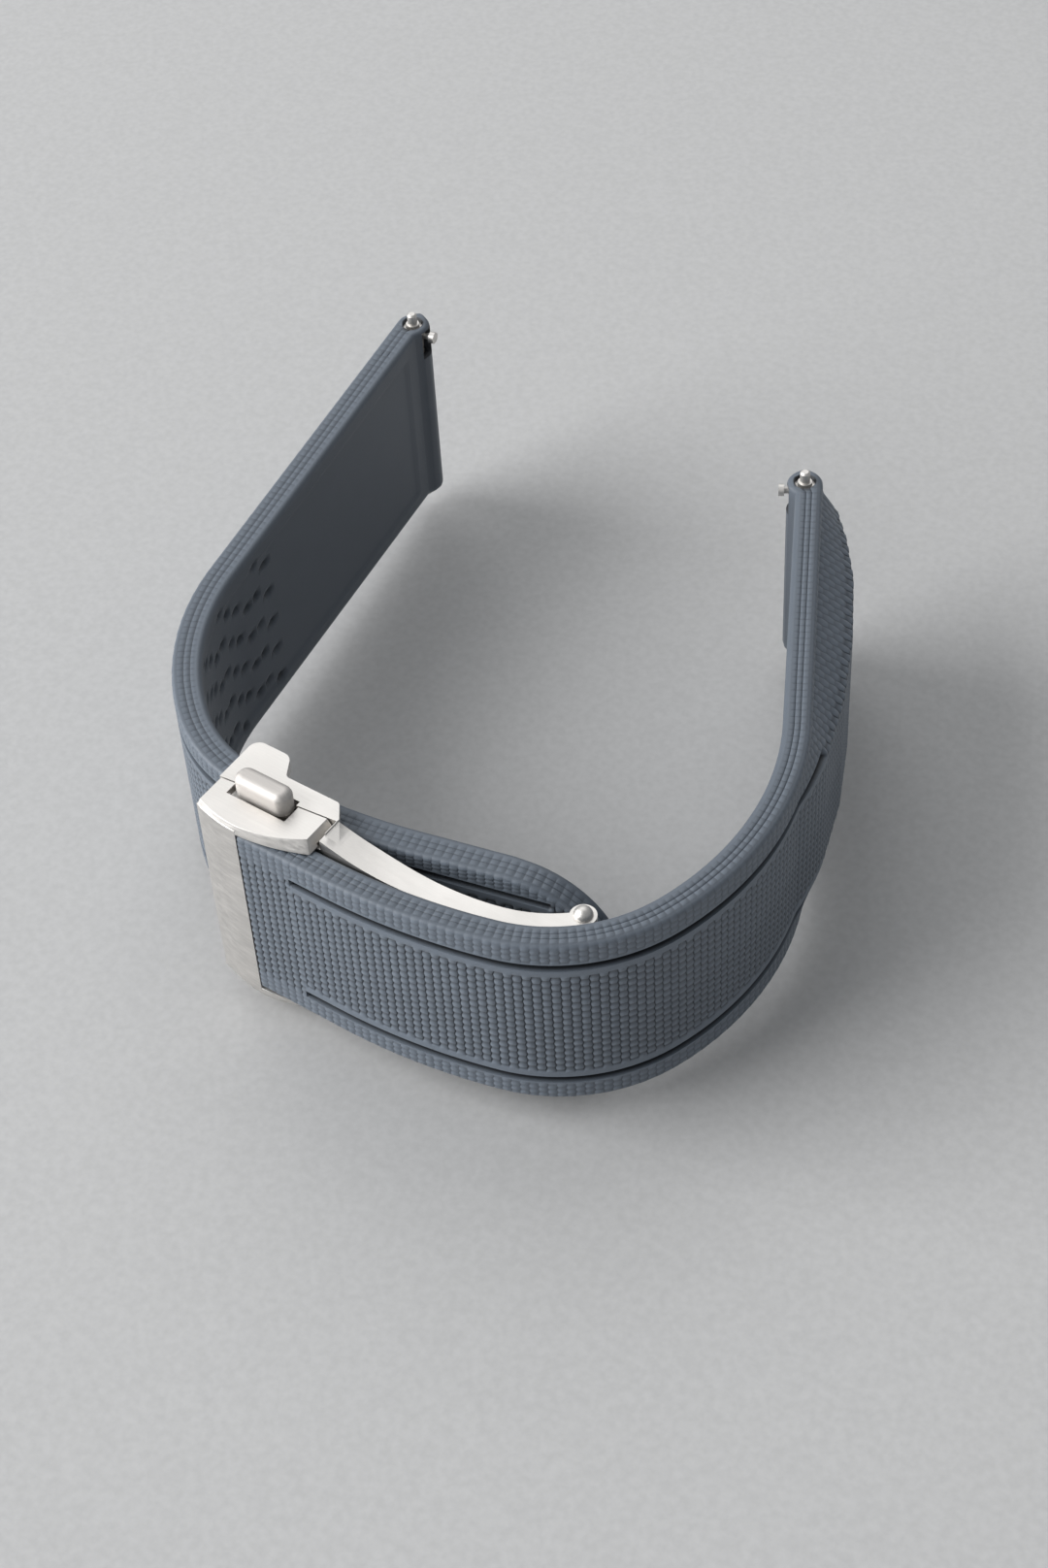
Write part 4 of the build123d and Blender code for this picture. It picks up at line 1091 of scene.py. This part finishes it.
def copy_solid(node: str) -> bmesh.types.BMesh:
    """Copy a solid of the frame, with its loose triangles merged.

    Args:
        node: the solid's name.

    Returns:
        A new bmesh.
    """
    mesh = bmesh.new()
    mesh.from_mesh(frame["nodes"][node].data)
    bmesh.ops.remove_doubles(mesh, verts=mesh.verts, dist=WELD)
    return mesh


def dress(
    piece: bpy.types.Object, material: bpy.types.Material, body: str, node: str
) -> None:
    """Give a piece its finish, and let it stand for a node of the frame.

    Args:
        piece: the piece.
        material: its finish.
        body: the body that it rides on.
        node: the node that it replaces.
    """
    piece.data.materials.clear()
    piece.data.materials.append(material)
    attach(piece, body)
    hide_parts(node)


@dataclass
class Strap:
    """Both rubber halves. Their sizes are those of the solids that they replace."""

    rubber: MouldedRubber = MouldedRubber()

    short_start_x: float = 4.9 * MM
    short_bends: tuple[Run, ...] = (
        bend(57.0 * MM, 15.0), bend(16.0 * MM, 55.0), bend(28.0 * MM, 49.0),
    )
    short_lug_heading: float = math.radians(119.0)
    short_thickness: float = 2.4 * MM
    short_clasp_width: float = 19.0 * MM
    short_line_from: float = 5.0 * MM
    short_line_end: float = 30.0 * MM
    crown_height: float = 3.1 * MM
    crown_shares: tuple[tuple[float, float], ...] = (
        (0.0, 0.45), (0.1, 0.74), (0.24, 0.97), (0.45, 1.0), (0.65, 0.84), (0.83, 0.45), (1.0, 0.0),
    )

    tail_lug_heading: float = math.radians(-80.5)
    tail_bends: tuple[Run, ...] = (bend(25.0 * MM, 42.5), bend(15.6 * MM, 38.0))
    seat_x: float = 4.0 * MM
    seat_y: float = -55.1 * MM
    seat_bend: Run = bend(60.0 * MM, 13.0)
    tail_end: Run = Run(17.0 * MM)
    tail_thickness: float = 2.6 * MM
    tail_clasp_width: float = 18.1 * MM
    tail_line_end: float = 5.0 * MM
    tail_wrist_steps: int = 32

    hole_radius: float = 1.1 * MM
    hole_pitch: float = 5.0 * MM
    holes_before: int = 2
    holes_after: int = 3
    peg_along: float = 4.0 * MM
    hole_segments: int = 36
    tunnel_radius: float = 0.95 * MM
    tunnel_segments: int = 40
    window_width: float = 1.6 * MM
    window_low: float = 6.75 * MM
    window_high: float = 9.65 * MM
    # Lengths of the two drills, in half widths and in thicknesses.
    tunnel_reach: float = 3.0
    hole_reach: float = 1.6

    def short_half(self) -> RubberHalf:
        """The half that joins the clasp's cover, with its raised panel.

        Returns:
            Its route, which starts at the clasp, and its sizes.
        """
        heading = self.short_lug_heading
        start = Vector((self.short_start_x, CLASP_OUTER_Y))
        end = Vector((LUG_BAR_X, 0.0)) - wristward(heading) * LUG_END_RADIUS
        first, last = straights_between(start, end, 0.0, self.short_bends, heading)
        route = Route(start, 0.0, (Run(first), *self.short_bends, Run(last)))
        return RubberHalf(
            half=Half.SHORT, body="cover_side", node="short_strap", route=route,
            thickness=self.short_thickness, clasp_width=self.short_clasp_width,
            clasp_y=CLASP_OUTER_Y, lug_at_end=True, line_from=self.short_line_from,
            line_to=route.length - self.short_line_end, crown_height=self.crown_height,
            crown_shares=self.crown_shares,
        )

    def tail_half(self) -> RubberHalf:
        """The half with the sizing holes and a round tip.

        Returns:
            Its route, which starts at the lug bar, and its sizes.
        """
        heading = self.tail_lug_heading
        start = Vector((-LUG_BAR_X, 0.0)) - wristward(heading) * LUG_END_RADIUS
        seat = Vector((self.seat_x, self.seat_y))
        first, last = straights_between(start, seat, heading, self.tail_bends, 0.0)
        runs = (Run(first), *self.tail_bends, Run(last), self.seat_bend, self.tail_end)
        route = Route(start, heading, runs)
        return RubberHalf(
            half=Half.TAIL, body="tail_side", node="tail_strap", route=route,
            thickness=self.tail_thickness, clasp_width=self.tail_clasp_width,
            clasp_y=self.seat_y, lug_at_end=False, line_from=self.tail_line_end,
            line_to=route.length - self.tail_line_end, tip_radius=self.tail_clasp_width / 2,
            wrist_steps=self.tail_wrist_steps, pits=Pits(),
        )

    def lug_cutters(self, half: RubberHalf) -> tuple[bpy.types.Object, bpy.types.Object]:
        """Build what cuts the openings at a lug.

        Args:
            half: the half that is cut.

        Returns:
            The tunnel for the lug bar and the window for its release knob.
        """
        point, heading = half.route.at(half.route.length if half.lug_at_end else 0.0)
        bar = (point + wristward(heading) * LUG_END_RADIUS).to_3d()
        tunnel = bmesh.new()
        add_drill(
            tunnel, self.tunnel_radius, LUG_HALF_WIDTH * self.tunnel_reach,
            self.tunnel_segments, Matrix.Translation(bar),
        )
        height = self.window_high - self.window_low
        middle = Vector((0.0, 0.0, (self.window_high + self.window_low) / 2))
        place = (
            Matrix.Translation(bar + middle)
            @ Matrix.Rotation(heading + math.pi / 2, 4, "Z")
            @ Matrix.Translation((LUG_END_RADIUS, 0.0, 0.0))
            @ Matrix.Diagonal((LUG_END_RADIUS * 2, self.window_width, height, 1.0))
        )
        window = bmesh.new()
        bmesh.ops.create_cube(window, size=1.0, matrix=place)
        name = half.half.value
        return finish_mesh(tunnel, f"{name}_tunnel"), finish_mesh(window, f"{name}_window")

    def hole_cutter(self, half: RubberHalf) -> bpy.types.Object:
        """Build what cuts the sizing holes.

        Args:
            half: the half that is cut.

        Returns:
            The drills of all the holes as one piece.
        """
        seat = half.route.length - self.tail_end.length - self.seat_bend.length
        mesh = bmesh.new()
        for place in range(-self.holes_before, self.holes_after + 1):
            point, heading = half.route.at(seat + self.peg_along + place * self.hole_pitch)
            inward = wristward(heading)
            centre = (point + inward * self.tail_thickness / 2).to_3d()
            turn = inward.to_3d().to_track_quat("Z", "Y").to_matrix().to_4x4()
            add_drill(
                mesh, self.hole_radius, self.tail_thickness * self.hole_reach,
                self.hole_segments, Matrix.Translation(centre) @ turn,
            )
        return finish_mesh(mesh, "sizing_holes")

    def make(self) -> list[bpy.types.Object]:
        """Build both halves, cut their openings and dress them.

        Returns:
            The two pieces.
        """
        material = self.rubber.material()
        pieces = []
        for half in (self.short_half(), self.tail_half()):
            piece = half.build()
            for cutter in self.lug_cutters(half):
                cut_away(piece, cutter)
            if half.half is Half.TAIL:
                cut_away(piece, self.hole_cutter(half))
            dress(piece, material, half.body, half.node)
            pieces.append(piece)
        return pieces


@dataclass
class SteelPiece:
    """A steel piece of the clasp, with softened edges."""

    node: str
    body: str
    edge: float = 0.07 * MM
    segments: int = 2
    # Edges that turn by more than the first angle are rounded, faces that differ by less than
    # the second become one, and edges that turn by less than the third are shaded smooth.
    sharp: float = math.radians(32)
    flat: float = math.radians(0.5)
    smooth: float = math.radians(50)
    shading_weight: int = 90

    def shape(self, mesh: bmesh.types.BMesh) -> None:
        """Change the copy's form before its edges are rounded; a plain piece keeps it."""

    def make(self, material: bpy.types.Material) -> bpy.types.Object:
        """Copy the solid, round its sharp edges and dress it.

        Args:
            material: the steel's material.

        Returns:
            The piece that stands for the solid.
        """
        mesh = copy_solid(self.node)
        self.shape(mesh)
        bmesh.ops.dissolve_limit(
            mesh, angle_limit=self.flat, verts=mesh.verts, edges=mesh.edges
        )
        if self.edge:
            sharp = [e for e in mesh.edges if e.calc_face_angle(0.0) > self.sharp]
            round_edges(mesh, sharp, self.edge, self.segments, clamp=True)
        piece = finish_mesh(mesh, f"{self.node}_satin", self.smooth)
        even = piece.modifiers.new("even_shading", "WEIGHTED_NORMAL")
        even.keep_sharp = True
        even.weight = self.shading_weight
        dress(piece, material, self.body, self.node)
        return piece


@dataclass
class FramePiece(SteelPiece):
    """Outer blade with its centre frame, whose rails swell on the wrist side at their roots."""

    route: Route | None = None
    # Places along the short half's outer face, which the rails follow.
    route_step: float = 0.2 * MM
    route_steps: int = 200
    # Depths of the rails' two faces under it, and how near a point of them lies.
    rail_outer: float = 2.6 * MM
    rail_inner: float = 4.1 * MM
    near: float = 0.1 * MM
    # The swelling falls off between two places, in even steps.
    swell: float = 1.0 * MM
    root_x: float = 12.15 * MM
    fall_x: float = 14.5 * MM
    end_x: float = 27.0 * MM
    step: float = 1.0 * MM
    # Where the rails meet the side walls, between two places, their points are also shifted.
    wall_x: float = 12.22 * MM
    free_x: float = 12.3 * MM
    wall_shift: Vector = Vector((-0.74 * MM, 0.0, 0.22 * MM))
    block_top: float = 9.4 * MM
    # The rails' outer rims are rounded between two places.
    rounded_from: float = 13.2 * MM
    rounded_to: float = 31.0 * MM
    rim_z: float = 8.5 * MM
    rail_round: float = 0.75 * MM
    rail_segments: int = 6
    # The wedge that is cut off each side wall's foot: its z is given at both its ends.
    corner_x: tuple[float, float] = (11.45 * MM, 12.9 * MM)
    corner_y: tuple[float, float] = (-56.65 * MM, -54.8 * MM)
    corner_z: tuple[float, float] = (10.39 * MM, 9.965 * MM)
    corner_reach: float = 1.0 * MM

    def shape(self, mesh: bmesh.types.BMesh) -> None:
        """Swell the rails' roots, round their rims and trim the side walls.

        Args:
            mesh: the frame, which is changed in place.
        """
        place = self.free_x + self.step
        while place < self.end_x:
            slice_across(mesh, (place, 0.0, 0.0), (1.0, 0.0, 0.0))
            place += self.step
        rim = self.swell_roots(mesh)
        edges = [edge for edge in mesh.edges if rim.issuperset(edge.verts)]
        round_edges(mesh, edges, self.rail_round, self.rail_segments, clamp=True)
        self.trim_corners(mesh)

    def swell_roots(self, mesh: bmesh.types.BMesh) -> set[bmesh.types.BMVert]:
        """Move the rails' wrist side inwards at their roots.

        Args:
            mesh: the frame, which is changed in place.

        Returns:
            The points of the rails' outer rims.
        """
        samples = [self.route.at(i * self.route_step) for i in range(self.route_steps)]
        rim = set()
        for vert in mesh.verts:
            if vert.co.x < self.root_x:
                continue
            plan, height = vert.co.xy, vert.co.z
            point, heading = min(samples, key=lambda sample: (sample[0] - plan).length_squared)
            inward = wristward(heading)
            depth = (plan - point).dot(inward)
            share = 1.0 - smooth_step(plan.x, self.fall_x, self.end_x)
            if share > 0.0 and abs(depth - self.rail_inner) < self.near:
                moved = plan + inward * self.swell * share
                if self.wall_x < plan.x < self.free_x:
                    moved.x += self.wall_shift.x
                    if abs(height) > self.block_top + self.near:
                        height += math.copysign(self.wall_shift.z, height)
                vert.co = Vector((moved.x, moved.y, height))
            along_rail = self.rounded_from < vert.co.x < self.rounded_to
            if along_rail and abs(height) > self.rim_z and depth < self.rail_outer + self.near:
                rim.add(vert)
        return rim

    def trim_corners(self, mesh: bmesh.types.BMesh) -> None:
        """Take the pointed foot off both side walls, down to the rails.

        Args:
            mesh: the frame, which is changed in place.
        """
        piece = link_mesh(mesh, "frame_before_trim")
        for side in (1.0, -1.0):
            wedge = bmesh.new()
            bmesh.ops.create_cube(wedge, size=1.0)
            for vert in wedge.verts:
                right, far, up = (value > 0.0 for value in vert.co)
                z = self.corner_z[right] + (self.corner_reach if up else 0.0)
                vert.co = Vector((self.corner_x[right], self.corner_y[far], side * z))
            bmesh.ops.recalc_face_normals(wedge, faces=wedge.faces)
            cut_away(piece, finish_mesh(wedge, "frame_corner"))
        mesh.clear()
        mesh.from_mesh(piece.data)
        old = piece.data
        bpy.data.objects.remove(piece)
        bpy.data.meshes.remove(old)
        bmesh.ops.remove_doubles(mesh, verts=mesh.verts, dist=LOOSE_WELD)


@dataclass
class PusherPiece(SteelPiece):
    """Pusher whose cap has round ends and a soft rim, which need no more rounding."""

    edge: float = 0.0
    cap_height: float = 2.1 * MM
    sunk: float = 0.03 * MM
    end_round: float = 0.92 * MM
    end_segments: int = 7
    rim_round: float = 0.7 * MM
    rim_segments: int = 6

    def shape(self, mesh: bmesh.types.BMesh) -> None:
        """Cut the plain cap off its neck and set the round one in its place.

        Args:
            mesh: the pusher, which is changed in place.
        """
        top = max((vert.co.z for vert in mesh.verts), key=abs)
        side = math.copysign(1.0, top)
        foot = top - side * self.cap_height
        cap = [v.co for v in mesh.verts if abs(v.co.z) > abs(foot) - self.sunk / 2]
        low = Vector((min(co.x for co in cap), min(co.y for co in cap)))
        high = Vector((max(co.x for co in cap), max(co.y for co in cap)))
        slice_across(mesh, (0.0, 0.0, foot - side * self.sunk / 2), (0.0, 0.0, side), clear=True)
        close_holes(mesh)
        middle, size = (low + high) / 2, high - low
        depth = self.cap_height + self.sunk
        place = Matrix.Translation((middle.x, middle.y, top - side * depth / 2))
        cube = bmesh.ops.create_cube(
            mesh, size=1.0, matrix=place @ Matrix.Diagonal((size.x, size.y, depth, 1.0))
        )
        corners_of_cap = set(cube["verts"])
        edges = [edge for edge in mesh.edges if corners_of_cap.issuperset(edge.verts)]
        upright = [e for e in edges if abs(e.verts[0].co.z - e.verts[1].co.z) > depth / 2]
        round_edges(mesh, upright, self.end_round, self.end_segments)
        outer = max(mesh.faces, key=lambda face: side * face.calc_center_median().z)
        round_edges(mesh, list(outer.edges), self.rim_round, self.rim_segments)


@dataclass
class Spring:
    """Coil spring, which shortens as the piece before it is pushed in; here it keeps its length."""

    node: str
    body: str
    joint: str
    fixed_z: float
    travel: float
    smooth: float = math.radians(60)

    def make(self, material: bpy.types.Material) -> bpy.types.Object:
        """Copy the coil and dress it, at its full length.

        Args:
            material: the wire's material.

        Returns:
            The piece that stands for the coil.
        """
        piece = finish_mesh(copy_solid(self.node), f"{self.node}_wire", self.smooth)
        dress(piece, material, self.body, self.node)
        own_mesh(piece)
        return piece


@dataclass
class Clasp:
    """The steel of the folding clasp and of the lug bars."""

    brushed: StainlessSteel = StainlessSteel()
    # Tumbled with small stones before it was brushed: matt and a little darker, with soft glints.
    # Its scratches too are about 0.05 mm apart, and are drawn as 0.2 mm, so that they show.
    tumbled: StainlessSteel = StainlessSteel(
        name="tumbled_stainless_steel", colour="#d6d2ce", roughness=0.6, scratch=0.2 * MM,
    )
    # Drawn through a die: smooth, with small bright glints on each turn. Its fine marks are
    # drawn at their real 0.05 mm, because the springs are hidden.
    wire: StainlessSteel = StainlessSteel(
        name="drawn_steel_wire", roughness=0.3, scratch=0.05 * MM, brushing=Brushing.TURNED,
    )
    # Turned on a lathe: softly bright all round, with no direction to the eye. The tool's marks
    # are about 0.04 mm apart and drawn as 0.1 mm, so that they show.
    turned: StainlessSteel = StainlessSteel(
        name="turned_stainless_steel", roughness=0.5, scratch=0.1 * MM, brushing=Brushing.TURNED,
    )

    def make(self, short_route: Route) -> list[bpy.types.Object]:
        """Dress every steel piece.

        Args:
            short_route: the route of the short half, which the rails follow.

        Returns:
            The pieces that stand for solids, without the solids that stay.
        """
        brushed = self.brushed.material()
        tumbled = self.tumbled.material()
        pieces = [part.make(material) for part, material in (
            (SteelPiece("clasp_cover", "cover_side"), brushed),
            (FramePiece("clasp_frame", "tail_side", route=short_route), brushed),
            (SteelPiece("inner_blade", "inner_blade"), brushed),
            (PusherPiece("upper_pusher", "upper_pusher"), tumbled),
            (PusherPiece("lower_pusher", "lower_pusher"), tumbled),
            (SteelPiece("keeper_bar", "tail_side"), brushed),
        )]
        wire = self.wire.material()
        for joint in frame["joints"]:
            for spring in joint.get("deforming_nodes", ()):
                pieces.append(Spring(
                    node=spring["node"], body=joint["parent"], joint=joint["name"],
                    fixed_z=spring["fixed_end_z_m"], travel=joint["range_m"][1],
                ).make(wire))
        turned = self.turned.material()
        for node in frame["nodes"].values():
            if not node.hide_render:
                for slot in node.material_slots:
                    slot.material = turned
        return pieces


@dataclass(frozen=True)
class Lamp:
    """Square soft lamp, which the camera doesn't see."""

    name: str
    place: Vector
    size: float
    power: float

    def make(self, target: Vector) -> None:
        """Add the lamp to the scene.

        Args:
            target: the point that it is aimed at.
        """
        data = bpy.data.lights.new(self.name, "AREA")
        data.shape = "SQUARE"
        data.size = self.size
        data.energy = self.power
        lamp = bpy.data.objects.new(self.name, data)
        lamp.location = self.place
        lamp.visible_camera = False
        lamp.rotation_euler = (target - self.place).to_track_quat("-Z", "Y").to_euler()
        bpy.context.scene.collection.objects.link(lamp)


@dataclass
class Studio:
    """Floor, lamps and camera."""

    paint: PaintedFloor = PaintedFloor()
    floor_size: float = 3.0
    sky_colour: str = "#e8ebee"
    sky_strength: float = 0.38
    window: Lamp = Lamp("window", Vector((-0.905, -0.845, 0.6)), 1.3, 30.5)
    ceiling: Lamp = Lamp("ceiling", Vector((-0.55, 0.7, 1.2)), 1.3, 7.2)
    target: Vector = Vector((5.0 * MM, -35.0 * MM, 0.0))
    lens: float = 66.68
    sensor_height: float = 36.0
    clip_start: float = 0.01
    clip_end: float = 10.0
    camera_place: Vector = Vector((118.3 * MM, -169.7 * MM, 179.7 * MM))
    camera_right: Vector = Vector((0.8213, 0.5689, -0.0456))
    camera_up: Vector = Vector((-0.3901, 0.6177, 0.6828))

    def make(self) -> None:
        """Build the stage round the strap."""
        bpy.context.scene.view_settings.view_transform = "Standard"
        self.floor()
        self.lamps()
        self.camera()

    def floor(self) -> None:
        """Plain pale floor under the lowest point of the strap."""
        low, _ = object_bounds()
        mesh = bmesh.new()
        bmesh.ops.create_grid(
            mesh, x_segments=1, y_segments=1, size=self.floor_size / 2,
            matrix=Matrix.Translation((0.0, 0.0, low[2])),
        )
        floor = finish_mesh(mesh, "floor")
        floor.data.materials.append(self.paint.material())
        floor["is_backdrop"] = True

    def lamps(self) -> None:
        """A wide soft window at the left and in front, a weaker lamp behind, and a weak sky."""
        world = bpy.data.worlds.new("studio")
        bpy.context.scene.world = world
        world.use_nodes = True
        background = world.node_tree.nodes["Background"]
        background.inputs["Color"].default_value = linear(self.sky_colour)
        background.inputs["Strength"].default_value = self.sky_strength
        for lamp in (self.window, self.ceiling):
            lamp.make(self.target)

    def camera(self) -> None:
        """Camera at the photographed angle."""
        data = bpy.data.cameras.new("camera")
        data.sensor_fit = "VERTICAL"
        data.sensor_height = self.sensor_height
        data.lens = self.lens
        data.clip_start = self.clip_start
        data.clip_end = self.clip_end
        back = self.camera_right.cross(self.camera_up)
        turn = Matrix((self.camera_right, self.camera_up, back)).transposed().to_4x4()
        camera = bpy.data.objects.new("camera", data)
        camera.matrix_world = Matrix.Translation(self.camera_place) @ turn
        bpy.context.scene.collection.objects.link(camera)
        bpy.context.scene.camera = camera


def main() -> None:
    """Build the strap, the clasp and the stage, and report how many faces each piece has."""
    logging.basicConfig(level=logging.INFO)
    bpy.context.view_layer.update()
    strap = Strap()
    pieces = strap.make() + Clasp().make(strap.short_half().route)
    Studio().make()
    for piece in pieces:
        log.info("%s has %d faces", piece.name, len(piece.data.polygons))


if __name__ == "__main__":
    main()
